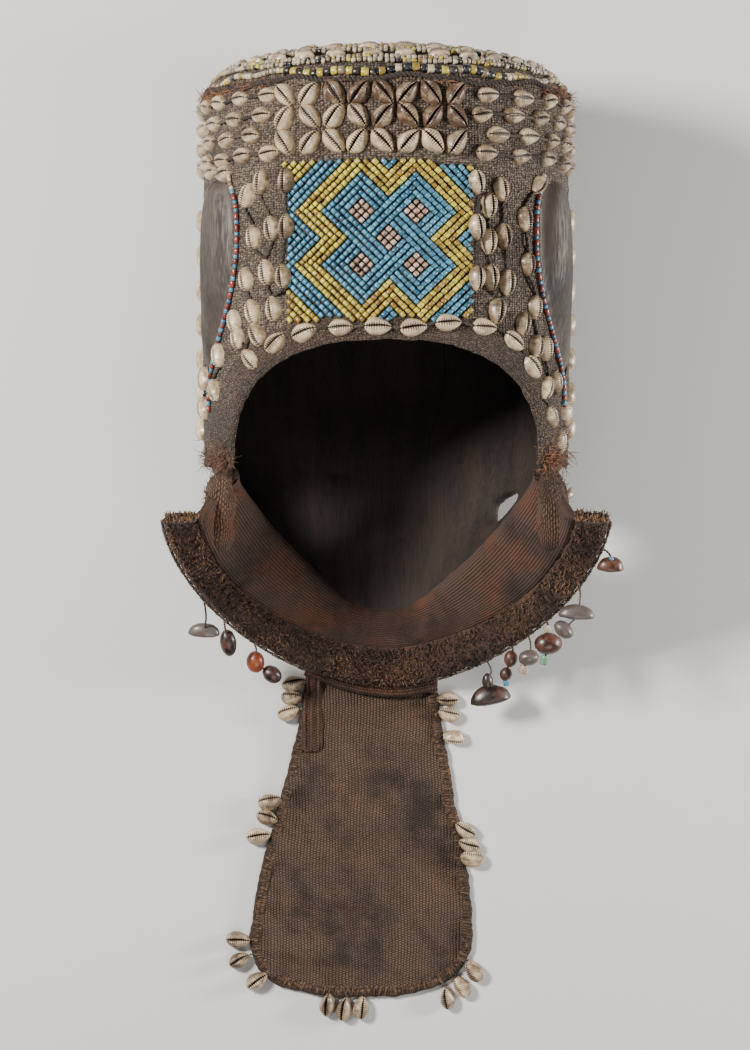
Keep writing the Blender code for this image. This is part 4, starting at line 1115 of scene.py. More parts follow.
for along_u in (True, False):
    for string in STRINGS:
        run = []
        for step in [*STRINGS, PAST_END]:
            cell = (step, string) if along_u else (string, step)
            inside_run = (step != PAST_END and within_panel(*on_panel(*cell))
                          and knot_bead(*cell)[1] == along_u)
            pick = knot_bead(*cell)[0] if inside_run else None
            if run and (pick is None or pick != run[0][1]):
                start, colour = run[0]
                length = len(run) * STRING_PITCH
                bead_count = max(1, round(length / (BEAD_LENGTH if colour != PINK else STRING_PITCH)))
                sizes = rng.uniform(0.84, 1.16, bead_count)
                sizes *= length / sizes.sum()
                at = -0.5 * STRING_PITCH
                for size in sizes:
                    middle = start + (at + size / 2) / STRING_PITCH
                    spot = (middle, string) if along_u else (string, middle)
                    x, y = on_panel(*spot)
                    turn = float(turn_at(x, y, CLOTH_LIFT))
                    place, across, out = head_frame(turn, y, CLOTH_LIFT + BEAD_LIFT * 0.5)
                    up = np.cross(out, across)
                    axis = across + up if along_u else up - across
                    tilt = rng.normal(0, 0.07, 3)
                    width = STRING_PITCH * rng.uniform(0.74, 0.92)
                    pace = size
                    if colour == PINK:
                        pace = STRING_PITCH
                        size, width = width * 0.96, width * 0.96
                    lift = out * (width * 0.5 + rng.normal(0, 0.0003) - BEAD_LIFT * 0.5)
                    add_bead(panel, place + lift, axis + tilt, out, size * 0.93, width,
                             rng.uniform(0.05, 1.0), colour)
                    at += pace
                run = []
            if pick is not None:
                run.append((step, pick))
bead_panel = panel.piece("beaded_panel", BLUE_GLASS, YELLOW_GLASS, PINK_GLASS)
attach(bead_panel, "root")
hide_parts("bead_panel")

# Ear beads. One string of small red and blue beads is laid along the edge of the cap round the
# back of each ear, pale ones at its top, and couched to the cloth with raffia.
EAR_STRING_TURN = 2.6


def ear_string_frame(side, y):
    """Place and directions on the string behind an ear."""
    turn = side * (float(follow(EAR_BACK_TURN, y)) - EAR_STRING_TURN)
    return head_frame(turn, y, CLOTH_LIFT + 0.0016)


rng = np.random.default_rng(31)
for side, word in SIDES:
    ear_string = Bundle()
    y = EAR_TOP_Y + 0.004
    place = None
    count = 0
    while y > EAR_FOOT_Y - 0.018:
        length = rng.uniform(0.0030, 0.0036) if count % 2 else rng.uniform(0.0030, 0.0058)
        here, _, out = ear_string_frame(side, y)
        y -= length * (0.97 if place is None else max(0.45, abs(unit(place - here)[1])))
        ahead, _, _ = ear_string_frame(side, y)
        pick = 2 if count < 3 else count % 2
        add_bead(ear_string, (here + ahead) / 2, ahead - here, out, length * 0.95,
                 rng.uniform(0.0031, 0.0037), rng.uniform(0, 1), pick)
        place = here
        count += 1
    strung = ear_string.piece(f"{word}_ear_beads", RED_GLASS, BLUE_GLASS, WHITE_GLASS)
    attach(strung, "root")
    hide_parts(f"{word}_ear_bead_string")

# Crown. The low dome is covered with dark raffia net, ringed by strings of small pale beads and
# by cowries laid end to end between them; nothing of the wood shows.
CROWN_RADIUS = 0.128
NET_SIDES = 200
BEAD_RINGS = (0.962, 0.930, 0.800, 0.768, 0.650, 0.618, 0.508, 0.368, 0.240)
COWRIE_RINGS = ((0.866, 30), (0.708, 24), (0.564, 19), (0.438, 14), (0.300, 9), (0.130, 4))
rng = np.random.default_rng(41)
crown_net = Bundle()
shares = np.r_[np.sin(np.linspace(0.02, np.pi / 2 * 0.93, 26)), 1.0]
net_turns = np.arange(NET_SIDES) * 360 / NET_SIDES
net_rings = np.array([crown_point(net_turns, share, 0.0022) for share in shares[::-1]])
net_rings[..., 1] += 0.0007 * rough_values(net_rings, 260)
net_lay = np.stack(np.broadcast_arrays(net_turns[None] * 0.0022, shares[::-1, None] * 0.13,
                                       np.zeros((len(shares), NET_SIDES))), -1)
crown_faces = ring_faces(len(shares), NET_SIDES)[:, ::-1]
crown_net.add(net_rings.reshape(-1, 3), crown_faces, 0.5, lay=net_lay.reshape(-1, 3))
crown_cloth = crown_net.piece("crown_net", CAP_CLOTH)
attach(crown_cloth, "root")
SMALL_BEAD = bead_form(7, 0.2, plain=True)
crown_beads = Bundle()
crown_shells = Bundle()
for share in BEAD_RINGS:
    around = 2 * np.pi * CROWN_RADIUS * share
    count = int(around / 0.0036)
    for k in range(count):
        turn = 360 * (k + rng.uniform(-0.1, 0.1)) / count
        waver = share + 0.006 * math.sin(turn * 0.12 + share * 40)
        place = crown_point(turn, waver, 0.0046)
        axis = crown_point(turn + 2, waver) - crown_point(turn - 2, waver)
        chance = rng.uniform()
        pick = 1 if chance < 0.14 else 2 if chance < 0.23 else 0
        add_bead(crown_beads, place + rng.normal(0, 0.0003, 3), axis + rng.normal(0, 0.0004, 3),
                 np.array((0, 1.0, 0)), rng.uniform(0.0026, 0.0034), rng.uniform(0.0030, 0.0042),
                 rng.uniform(0, 0.9), pick, SMALL_BEAD)
for share, count in COWRIE_RINGS:
    for k in range(count):
        turn = 360 * (k + 0.5) / count + rng.normal(0, 0.5)
        place = crown_point(turn, share, 0.0020)
        axis = unit(crown_point(turn + 2, share) - crown_point(turn - 2, share))
        outward = unit(crown_point(turn, share + 0.02) - crown_point(turn, share - 0.02))
        out = unit(np.cross(axis, outward))
        out = out if out[1] > 0 else -out
        points, faces, marks = SEWN_COWRIE
        crown_shells.add(copy_form(points, place, axis, out, rng.uniform(0.78, 0.90)), faces,
                         rng.uniform(0.45, 0.95), lay=marks)
crown_strings = crown_beads.piece("crown_bead_strings", WHITE_GLASS, YELLOW_GLASS, BLACK_GLASS)
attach(crown_strings, "root")
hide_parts("crown_cover")
crown_cowries = crown_shells.piece("crown_cowries", SHELL)
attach(crown_cowries, "root")

# Rim of the crown. A string of thick beads, black and yellow over the back and pale elsewhere,
# runs above a hard dark cord of knotted raffia, and the cap's cut edge frays out under it.
THICK_BEAD = 0.0066
THIN_BEAD = 0.0042
THICK_TURNS = (-34, 44)
rng = np.random.default_rng(51)
rim_string = Bundle()
turn = -180.0
index = 0
while turn < 179:
    thick = THICK_BEAD if THICK_TURNS[0] < turn < THICK_TURNS[1] else THIN_BEAD
    length = thick * rng.uniform(0.72, 0.90)
    step = length / (CROWN_RADIUS + 0.003) * 180 / np.pi
    sag = 0.0013 * math.sin(turn * 0.11) + 0.0012 * math.sin(turn * 0.31)
    place, across, out = head_frame(turn + step / 2, RIM_Y, 0.0004)
    place = place + (0, 0.0055 + sag, 0)
    pick = (1, 2)[index % 2] if thick == THICK_BEAD else (0, 0, 1, 0, 0, 2)[index % 6]
    if rng.uniform() < 0.22:
        pick = 0
    add_bead(rim_string, place, across + rng.normal(0, 0.05, 3), out, length * 0.95,
             thick * rng.uniform(0.85, 1.08), rng.uniform(0.0, 1), pick)
    turn += step
    index += 1
rim_beads = rim_string.piece("crown_rim_beads", WHITE_GLASS, YELLOW_GLASS, BLACK_GLASS)
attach(rim_beads, "root")
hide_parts("crown_bead_rope")
rim_cord = Bundle()
cord_turns = np.linspace(-180, 180, 340)
cord_sway = 0.0020 * np.sin(np.radians(cord_turns * 9)) + 0.0009 * np.sin(np.radians(cord_turns * 23))
cord_path = head_point(cord_turns, np.full(340, RIM_Y), 0.0034) + np.stack(
    (cord_sway * 0, cord_sway - 0.0003, cord_sway * 0), -1)
twisted_cord(rim_cord, cord_path, 0.0020, 0.03, count=700, turn_length=3.4, sides=5)
fray_turns = np.r_[rng.uniform(-88, -38, 230), rng.uniform(55, 95, 170), rng.uniform(-180, 180, 260)]
roots, _, outs = head_frame(fray_turns, np.full(len(fray_turns), RIM_Y - 0.002), CLOTH_LIFT)
sideways = rng.normal(0, 1, (len(fray_turns), 3))
hairs(rim_cord, rng, roots, outs * 0.55 + sideways * 0.7, rng.uniform(0.004, 0.012, len(roots)), 0.00030,
      pick=1)
rim_binding = rim_cord.piece("crown_rim_cord", CORD, RUSTY)
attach(rim_binding, "root")

# Forehead band. A strip of blue and white beads is tied across the hidden forehead, over bare
# wood; it is plain next to the panel at the back.
BROW_ROWS = 4
BROW_FOOT_Y = 0.0808
BROW_PITCH = 0.0035
BROW_BEADS = 66
BROW_TURNS = (121.5, 117)
rng = np.random.default_rng(61)
brow_band = Bundle()
for row in range(BROW_ROWS):
    y = BROW_FOOT_Y + BROW_PITCH * row
    for k in range(BROW_BEADS):
        turn = BROW_TURNS[0] + BROW_TURNS[1] * (k + 0.5 * (row % 2)) / BROW_BEADS
        place, across, out = head_frame(turn, y, 0.0024)
        pick = 1 if (k // 3 + row) % 4 == 0 else 0
        add_bead(brow_band, place, across, out, 0.0037, 0.0032, rng.uniform(0, 1), pick, SMALL_BEAD)
forehead_band = brow_band.piece("forehead_band", BLUE_GLASS, WHITE_GLASS)
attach(forehead_band, "root")
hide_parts("brow_bead_band")

# Neck cloth. A strip of fine reddish raffia cloth is bound over the helmet's lower rim, bent
# outwards and sewn to the beard; its weave runs in lines along the fold. A knitted tab with one
# cowrie is sewn over each of its ends.
FOLD = {"half_width": 0.132, "top": (0.006, 0.190), "bottom": (-0.091, 0.025), "power": 1.8}
EDGE = {"half_width": 0.156, "top": (0.004, 0.188), "bottom": (-0.121, 0.0155), "power": 1.72}
RIM_SIDE_Z = 0.176


def u_point(curve, angle):
    """Points on one of the beard's U-shaped lines; angle 0 is the bottom, +-90 the ends."""
    turn = np.radians(angle)
    top, bottom = np.array(curve["top"]), np.array(curve["bottom"])
    x = curve["half_width"] * signed_power(np.sin(turn), 2 / curve["power"])
    share = np.abs(np.cos(turn)) ** (2 / curve["power"])
    return np.stack((x, top[0] + (bottom[0] - top[0]) * share, top[1] + (bottom[1] - top[1]) * share), -1)


def rim_point(turn, offset):
    """Where the head's surface at an offset meets the slanting plane of the lower rim."""
    low, high = np.full(np.shape(turn), -0.090), np.full(np.shape(turn), 0.100)
    for _ in range(40):
        y = (low + high) / 2
        above = rim_plane_y(head_point(turn, y, offset)[..., 2]) > y
        low, high = np.where(above, y, low), np.where(above, high, y)
    return head_point(turn, y, offset)


def rim_turn(angle):
    """Turn round the head that goes with an angle round the beard."""
    tries = np.linspace(50, 179, 2000)
    first = tries[np.argmax(rim_point(tries, -WALL)[:, 2] <= RIM_SIDE_Z)]
    return 180 - angle / 90 * (180 - first)


def beard_frame(angle):
    """Fold, edge, and the directions out and up of the collar at angles round the beard."""
    fold, edge = u_point(FOLD, angle), u_point(EDGE, angle)
    out = unit(edge - fold)
    ahead = u_point(EDGE, np.minimum(angle + 1, 90)) - u_point(EDGE, np.maximum(angle - 1, -90))
    up = unit(np.cross(out, ahead))
    return fold, edge, out, up * np.where(up[..., 2:] > 0, 1, -1)


angles = np.linspace(-90, 90, 341)
fold, edge, out, up = beard_frame(angles)
rim_in, rim_out = rim_point(rim_turn(angles), -WALL), rim_point(rim_turn(angles), 0.0)
away = np.array((0, -1, RIM_SLOPE)) / math.hypot(1, RIM_SLOPE)
section = [rim_in + (rim_in - rim_out) * 0.02 - away * 0.004,
           rim_in + away * 0.0030 + (rim_in - rim_out) * 0.06,
           rim_in * 0.72 + fold * 0.28 + away * 0.0052, rim_in * 0.45 + fold * 0.55 + away * 0.0056,
           fold + up * 0.0042 - out * 0.004, fold + up * 0.0020 + out * 0.001,
           fold - up * 0.0020 + out * 0.001, rim_out * 0.5 + fold * 0.5 + away * 0.0012,
           rim_out + away * 0.0004]
section = np.array(section)
NECK_ROWS = 44
neck_grid = np.array([smooth_path(section[:, i], NECK_ROWS) for i in range(len(angles))])
neck_along = np.r_[0, np.cumsum(np.linalg.norm(np.diff(fold, axis=0), axis=1))]
neck_lay = np.stack(np.broadcast_arrays(np.linspace(0, 0.075, NECK_ROWS)[None], neck_along[:, None],
                                        np.zeros((1, 1))), -1)
neck_normal = unit(np.cross(np.gradient(neck_grid, axis=0), np.gradient(neck_grid, axis=1)))
neck_grid = neck_grid - neck_normal * (0.0007 * rough_values(neck_grid, 90))[..., None]
NECK_CLOTH = raffia_cloth("reddish_fine_raffia", (0.009, 0.004, 0.003, 1), (0.135, 0.070, 0.043, 1),
                          (0.0018, 0.0016), 0.0007, 0.0012, stain=(0.250, 0.075, 0.026, 1))
neck_strip = Bundle()
neck_faces = capped_faces(len(angles), NECK_ROWS, closed=False, turned=True)
neck_strip.add(neck_grid.reshape(-1, 3), neck_faces, lay=neck_lay.reshape(-1, 3))
neck = neck_strip.piece("neck_cloth_weave", NECK_CLOTH)
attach(neck, "root")
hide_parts("neck_cloth")
rng = np.random.default_rng(65)
TAB_CLOTH = raffia_cloth("brown_knitted_tab", (0.010, 0.005, 0.003, 1), (0.170, 0.092, 0.055, 1),
                         (0.0019, 0.0019), 0.0022, 0.0015, stain=(0.230, 0.080, 0.032, 1))
TAB_ROWS = 22
TAB_SIDES = 28
TAB_HAIRS = 320
TAB_SEEN = {"left": (200, 501, 94), "right": (563, 495, 84)}
for side, word in SIDES:
    tab_rings = []
    for share in np.sin(np.linspace(-np.pi / 2, np.pi / 2, TAB_ROWS)) / 2 + 0.5:
        taper = (1 - abs(2 * share - 1) ** 5) ** 0.4
        around = -side * np.arange(TAB_SIDES) * 2 * np.pi / TAB_SIDES
        tab_rings.append(np.column_stack((
            side * (0.1215 - 0.0055 * share)
            + (0.0128 - 0.0030 * share) * taper * signed_power(np.cos(around), 0.8),
            np.full(TAB_SIDES, -0.020 + 0.0575 * share),
            0.1775 - 0.036 * (1 - share) ** 1.7 + 0.0150 * taper * signed_power(np.sin(around), 0.8))))
    tab_grid = np.array(tab_rings)
    tab_grid += rough_values(tab_grid, 90, side)[..., None] * 0.0020
    tab_lay = np.stack(np.broadcast_arrays(np.arange(TAB_SIDES)[None] * 0.0031,
                                           np.linspace(0, 0.040, TAB_ROWS)[:, None], 0.0), -1)
    tab = Bundle()
    tab.add(tab_grid.reshape(-1, 3), capped_faces(TAB_ROWS, TAB_SIDES), lay=tab_lay.reshape(-1, 3))
    top = tab_grid[8:21].reshape(-1, 3)
    roots = top[rng.integers(0, len(top), TAB_HAIRS)]
    ways = unit(roots - (side * 0.118, 0.020, 0.176)) + np.array((0, 0.6, 0))
    hairs(tab, rng, roots, ways, rng.uniform(0.002, 0.006, TAB_HAIRS), 0.00028, tones=(0.0, 0.5), pick=1)
    knotted_tab = tab.piece(f"{word}_neck_tab", TAB_CLOTH, RUSTY)
    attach(knotted_tab, "root")
    tab_shell = Bundle()
    px, py, tilt = TAB_SEEN[word]
    turn, y = seen_on_head(px, py, 0.014)
    sew_cowrie(tab_shell, turn, y, tilt, 0.7, 0.85, 0.0145)
    sewn = tab_shell.piece(f"{word}_tab_cowrie", SHELL)
    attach(sewn, "root")

# Beard collar. A thick band of cut-pile raffia stands round the jaw like a ruff: short dark tufts
# on the side away from the face, small dark knots of thread sewn along its outer edge.
COLLAR_THICKNESS = 0.009
COLLAR_ROWS = 56
COLLAR_TUFTS = 6600
END_TUFTS = 190
UNDER_BEARD_X = (-0.058, 0.040)
collar_angles = np.linspace(-90, 90, 261)
fold, edge, out, up = beard_frame(collar_angles)
half = COLLAR_THICKNESS / 2
start = fold + out * 0.0006
middle = (start + edge) / 2
section = np.array([start - up * half * 0.7, start + up * half * 0.7,
                    start + (middle - start) * 0.5 + up * half * 0.95,
                    middle + up * half * 1.05, middle + (edge - middle) * 0.5 + up * half,
                    edge + up * half * 0.7 - out * 0.002, edge + out * 0.0012,
                    edge - up * half * 0.7 - out * 0.002, middle - up * half, start - up * half * 0.7])
collar_grid = np.array([smooth_path(section[:, i], COLLAR_ROWS) for i in range(len(collar_angles))])
collar_normal = unit(np.cross(np.gradient(collar_grid, axis=0), np.gradient(collar_grid, axis=1)) + 1e-12)
collar_grid = collar_grid - collar_normal * (0.0009 * rough_values(collar_grid, 170)
                                             + 0.0007 * rough_values(collar_grid, 420, 3.0))[..., None]


def pile_material():
    material, tree, shader = new_material("cut_pile_raffia", Roughness=0.95, Sheen_Weight=0.06,
                                          Sheen_Roughness=0.5)
    place = place_of(tree)
    tufts = cloudy(tree, place, 420, 4, 0.7)
    patches = cloudy(tree, place, 35, 3, 0.6)
    colour = blend_colours(tree, spread(tree, tufts, 0.3, 0.72), (0.007, 0.003, 0.002, 1),
                           (0.075, 0.033, 0.017, 1))
    colour = blend_colours(tree, spread(tree, patches, 0.5, 0.8, 0.0, 0.6), colour,
                           (0.110, 0.045, 0.020, 1))
    tree.links.new(colour, shader.inputs["Base Color"])
    bump(tree, shader, tufts, 0.0016, 1.0)
    return material


collar_mesh = Bundle()
collar_mesh.add(collar_grid.reshape(-1, 3), capped_faces(len(collar_angles), COLLAR_ROWS, turned=True))
collar = collar_mesh.piece("collar_pile", pile_material())
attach(collar, "root")
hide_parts("beard_collar")


def bent_tuft(rng, root, tip, radii):
    """Points and faces of one cut tuft."""
    return tube([root, (root + tip) / 2 + rng.normal(0, 0.0005, 3), tip], radii, 3)


rng = np.random.default_rng(71)
tufts = Bundle()
for _ in range(COLLAR_TUFTS):
    angle = rng.uniform(-89, 89)
    fold_at, edge_at, out_at, up_at = beard_frame(np.array(angle))
    share = rng.uniform(0.04, 0.97)
    side_up = 1 if rng.uniform() < 0.72 else -1
    root = fold_at + (edge_at - fold_at) * share + side_up * up_at * half * 0.85
    lean = rng.normal(0, 0.55, 3)
    tip = root + unit(side_up * up_at + 1.6 * lean) * rng.uniform(0.0020, 0.0048)
    if tip[2] < 0.001:
        continue
    points, faces = bent_tuft(rng, root, tip, (0.00048, 0.00040, 0.00022))
    patch = 0.5 + 0.9 * noise.noise(Vector(root * 38))
    tufts.add(points, faces, np.clip(patch, 0.05, 1) * rng.uniform(0, 1) ** 1.6)
TUFT = cord_fibre("pile_tufts", (0.009, 0.004, 0.003, 1), (0.310, 0.150, 0.070, 1), 0.9)
collar_tufts = tufts.piece("collar_tufts", TUFT)
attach(collar_tufts, "root")
end_tufts = Bundle()
for side in (-1, 1):
    fold_at, edge_at, out_at, up_at = beard_frame(np.array(89.9 * side))
    for _ in range(END_TUFTS):
        root = fold_at + (edge_at - fold_at) * rng.uniform(0, 1) + up_at * half * rng.uniform(-0.9, 0.9)
        tip = root + unit(np.array((0, 1.0, 0)) + rng.normal(0, 0.5, 3)) * rng.uniform(0.0015, 0.0045)
        points, faces = bent_tuft(rng, root, tip, (0.00060, 0.00050, 0.00028))
        end_tufts.add(points, faces, rng.uniform(0, 1) ** 1.5)
tufted_ends = end_tufts.piece("collar_end_tufts", TUFT)
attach(tufted_ends, "root")
stitches = Bundle()
SPOT = bead_form(6, 0.3)
edge_steps = np.linspace(-89, 89, 230)
_, edge_line, edge_out, edge_up = beard_frame(edge_steps)
for k in range(len(edge_steps) - 1):
    if UNDER_BEARD_X[0] < edge_line[k][0] < UNDER_BEARD_X[1]:
        continue
    axis = edge_line[k + 1] - edge_line[k]
    add_bead(stitches, edge_line[k] + edge_out[k] * 0.0022, axis, edge_up[k], 0.0022,
             rng.uniform(0.0018, 0.0030), rng.uniform(0.0, 0.8), 0, SPOT)
collar_edge = stitches.piece("collar_edge_stitches", cord_fibre("pale_thread", (0.014, 0.009, 0.006, 1),
                                                               (0.190, 0.140, 0.095, 1)))
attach(collar_edge, "root")

# Beard panel. A long bell of coarse plain-weave raffia, dark brown, with a thick hem whipped
# over all round and a narrow flap folded back along its left side.
BEARD_TOP_Y = -0.112
BEARD_FOOT_Y = -0.357
BEARD_TOP_HALF = 0.0485
BEARD_FOOT_HALF = 0.0834
BEARD_WIDEST_Y = -0.310
BEARD_MIDDLE_X = (-0.010, -0.020)
BEARD_THICKNESS = 0.0065
RIB_PITCH = 0.00235
STITCH_PITCH = 0.0018
RIB_HEIGHT = 0.00025
HEM_RADIUS = 0.0034
HEM_POINTS = 420
HEM_SIDES = 12
STRIP_Z = 0.0095
STRIP_POINTS = 70
STRIP_SIDES = 16
FLAP_POINTS = (60, 30)


def beard_half_width(y):
    share = np.clip((BEARD_TOP_Y - y) / (BEARD_TOP_Y - BEARD_WIDEST_Y), 0, 1)
    bell = 0.65 * share * share * (3 - 2 * share) + 0.35 * share
    half_width = BEARD_TOP_HALF + (BEARD_FOOT_HALF - BEARD_TOP_HALF) * bell
    past = np.clip((BEARD_WIDEST_Y - y) / (BEARD_WIDEST_Y - BEARD_FOOT_Y), 0, 1)
    return half_width * (1 - past ** 2.6) ** (1 / 2.6)


def beard_middle_x(y):
    share = (BEARD_TOP_Y - y) / (BEARD_TOP_Y - BEARD_FOOT_Y)
    return BEARD_MIDDLE_X[0] + (BEARD_MIDDLE_X[1] - BEARD_MIDDLE_X[0]) * share


weave_x = np.arange(-0.108, 0.072, RIB_PITCH / 3)
weave_y = np.arange(BEARD_FOOT_Y + 0.001, BEARD_TOP_Y + 0.006, STITCH_PITCH / 2)
grid_x, grid_y = np.meshgrid(weave_x, weave_y)
wander_points = np.stack((grid_x, grid_y, np.zeros_like(grid_x)), -1)
coarser_left = 1 + 0.8 * np.clip((beard_middle_x(grid_y) - grid_x - 0.020) / 0.030, 0, 1)
wander = 0.0018 * rough_values(wander_points, 26) + 0.00045 * rough_values(wander_points, 150, 2.0)
ribs = np.abs(np.sin(np.pi * (grid_x + wander) / RIB_PITCH))
height = RIB_HEIGHT * (ribs ** 0.7 + 0.8 * rough_values(wander_points, 300, 9.0)) * coarser_left
swell = 0.0034 * rough_values(wander_points, 29, 4.0)
swell += 0.0013 * rough_values(wander_points, 85, 6.0) * coarser_left
swell += 0.0022 * np.exp(-((grid_x + 0.055 + 0.10 * (grid_y + 0.25)) / 0.0055) ** 2) * np.exp(
    -((grid_y + 0.215) / 0.035) ** 2)
swell += 0.0018 * np.exp(-((grid_y + 0.330 + 0.15 * (grid_x + 0.02)) / 0.006) ** 2) * np.exp(
    -((grid_x + 0.055) / 0.030) ** 2)
swell = np.clip(swell, -0.0030, 0.0045)
weave_places = np.stack((grid_x, grid_y, BEARD_THICKNESS - 0.0018 + height + swell), -1)
quad_x = (grid_x[1:, 1:] + grid_x[:-1, :-1]) / 2
quad_y = (grid_y[1:, 1:] + grid_y[:-1, :-1]) / 2
keep = np.abs(quad_x - beard_middle_x(quad_y)) < beard_half_width(quad_y) - 0.0015
beard_lay = np.stack((grid_x + wander, grid_y, grid_x * 0), -1)
BEARD_CLOTH = raffia_cloth("coarse_brown_raffia", (0.006, 0.003, 0.002, 1), (0.162, 0.096, 0.062, 1),
                           (RIB_PITCH, STITCH_PITCH), 0.0006, 0.0018, stain=(0.205, 0.108, 0.056, 1))
HEM_CLOTH = knotted_net("coarse_rusty_hem", (0.010, 0.005, 0.003, 1), (0.215, 0.110, 0.054, 1),
                        (0.0026, 0.0019), 0.0014)
beard = grid_piece("beard_weave", weave_places, keep, beard_lay, BEARD_CLOTH)
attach(beard, "root")
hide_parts("beard_panel")
quarter_turn = np.linspace(0, np.pi / 2, 90)
outline_ys = BEARD_FOOT_Y + (BEARD_TOP_Y - BEARD_FOOT_Y) * (1 - np.cos(quarter_turn)) ** 1.25
left_line = np.column_stack((beard_middle_x(outline_ys) - beard_half_width(outline_ys), outline_ys))[::-1]
right_line = np.column_stack((beard_middle_x(outline_ys) + beard_half_width(outline_ys), outline_ys))
hem_line = np.concatenate((left_line, right_line[1:]))
hem_path = smooth_path(np.column_stack((hem_line, np.full(len(hem_line), HEM_RADIUS))), HEM_POINTS)
hem_in = unit(np.column_stack((beard_middle_x(hem_path[:, 1]) - hem_path[:, 0],
                               np.where(hem_path[:, 1] < BEARD_WIDEST_Y, 0.06, 0.0) + 1e-4,
                               hem_path[:, 2] * 0)))
hem_path = hem_path + hem_in * (0.0032 + 0.0010 * rough_values(hem_path, 45))[:, None]
hem = Bundle()
points, faces = tube(hem_path, HEM_RADIUS + 0.0007 * rough_values(hem_path, 130, 3.0), HEM_SIDES)
points += 0.0006 * rough_values(points, 330)[:, None]
away_from_hem = points - np.repeat(hem_path, HEM_SIDES, axis=0)
points += away_from_hem * (0.30, 0.30, -0.15)
points[:, 2] = np.maximum(points[:, 2], 0.0002)
around_hem = np.tile(np.arange(HEM_SIDES) * 0.0016, HEM_POINTS)
hem_along = np.repeat(np.arange(HEM_POINTS) * 0.0015, HEM_SIDES)
hem.add(points, faces, 0.5, lay=np.column_stack((around_hem, hem_along, around_hem * 0)))
beard_hem = hem.piece("beard_hem", HEM_CLOTH)
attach(beard_hem, "root")
flap_along, flap_across = np.meshgrid(np.linspace(0, 1, FLAP_POINTS[0]), np.linspace(-1, 1, FLAP_POINTS[1]),
                                      indexing="ij")
flap_half = (0.0062 + 0.0018 * flap_along) * (1 - np.clip((flap_along - 0.80) / 0.20, 0, 1) ** 2.4) ** 0.45
flap_x = -0.0538 - 0.0032 * flap_along + (flap_half + 0.0003) * flap_across
flap_y = -0.1110 - 0.0620 * flap_along
flap_edge = (1 - np.abs(flap_across) ** 6) * (1 - flap_along ** 14)
flap_folds = 0.0011 * np.cos(2 * np.pi * (flap_across * 1.3 + 0.12 * np.sin(5 * flap_along)))
flap_places = np.stack((flap_x, flap_y, 0.0050 + (0.0044 + flap_folds) * flap_edge ** 0.5), -1)
flap_places[..., 2] += 0.0008 * rough_values(flap_places, 160)
flap_lay = np.stack((flap_x, flap_y, flap_x * 0), -1)
FLAP_CLOTH = raffia_cloth("dark_reddish_flap", (0.007, 0.003, 0.002, 1), (0.115, 0.052, 0.030, 1),
                          (0.0026, 0.0020), 0.0012, 0.0012, stain=(0.210, 0.075, 0.028, 1))
whole_flap = np.ones((FLAP_POINTS[0] - 1) * (FLAP_POINTS[1] - 1), bool)
beard_flap = grid_piece("beard_folded_flap", flap_places, whole_flap, flap_lay, FLAP_CLOTH)
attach(beard_flap, "root")
strip = Bundle()
strip_path = smooth_path([(-0.0600, -0.1080, STRIP_Z), (-0.0270, -0.1200, STRIP_Z),
                          (0.0100, -0.1245, STRIP_Z), (0.0385, -0.1195, STRIP_Z)], STRIP_POINTS)
points, faces = tube(strip_path, 0.0060 + 0.0006 * rough_values(strip_path, 120), STRIP_SIDES)
points += 0.0005 * rough_values(points, 300)[:, None]
points[:, 2] = STRIP_Z + (points[:, 2] - STRIP_Z) * 0.8
strip.add(points, faces, lay=np.column_stack((np.tile(np.arange(STRIP_SIDES) * 0.0024, STRIP_POINTS),
                                              np.repeat(np.arange(STRIP_POINTS) * 0.0015, STRIP_SIDES),
                                              np.zeros(STRIP_POINTS * STRIP_SIDES))))
top_strip = strip.piece("beard_top_strip", FLAP_CLOTH)
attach(top_strip, "root")
whip = Bundle()
for k in range(2, len(hem_path) - 3, 3):
    if rng.uniform() < 0.35:
        continue
    along = unit(hem_path[k + 1] - hem_path[k])
    side_way = np.cross(along, (0, 0, 1))
    angle = np.linspace(-0.15 * np.pi, 1.15 * np.pi, 7)
    slant = rng.uniform(0.0006, 0.0024)
    loop = (hem_path[k] + 0.0037 * (np.cos(angle)[:, None] * side_way + np.sin(angle)[:, None] * (0, 0, 1))
            + along * np.linspace(-slant, slant, 7)[:, None])
    loop[:, 2] = np.maximum(loop[:, 2], 0.0006)
    points, faces = tube(loop, 0.00045, 4)
    whip.add(points, faces, rng.uniform(0.0, 0.55))
hem_whipping = whip.piece("beard_hem_whipping", cord_fibre("hem_thread", (0.020, 0.009, 0.005, 1),
                                                           (0.235, 0.130, 0.066, 1)))
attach(hem_whipping, "root")

# Edge cowries. Whole cowries hang in threes at the beard's edge, tied through their ends to the
# hem and to each other with raffia.
WHOLE_COWRIE = cowrie_form(whole=True)
EDGE_COWRIE_Z = 0.0045
EDGE_COWRIES = (
    ("upper_left", ((-0.0694, -0.1205, 4), (-0.0709, -0.1315, -8), (-0.0732, -0.1430, 10))),
    ("upper_right", ((0.0470, -0.1320, 172), (0.0480, -0.1440, 165), (0.0520, -0.1600, 178))),
    ("middle_left", ((-0.0875, -0.2106, 8), (-0.0898, -0.2220, -6), (-0.0963, -0.2360, 0))),
    ("middle_right", ((0.0602, -0.2310, 150), (0.0632, -0.2424, 165), (0.0655, -0.2538, 180))),
    ("lower_left", ((-0.1118, -0.3144, 0), (-0.1110, -0.3300, 16), (-0.0974, -0.3455, 40))),
    ("foot", ((-0.0436, -0.3636, 80), (-0.0310, -0.3670, 96), (-0.0186, -0.3659, 84))),
    ("lower_right", ((0.0678, -0.3379, 125), (0.0587, -0.3500, 112), (0.0473, -0.3590, 100))),
)
rng = np.random.default_rng(81)
ties = Bundle()
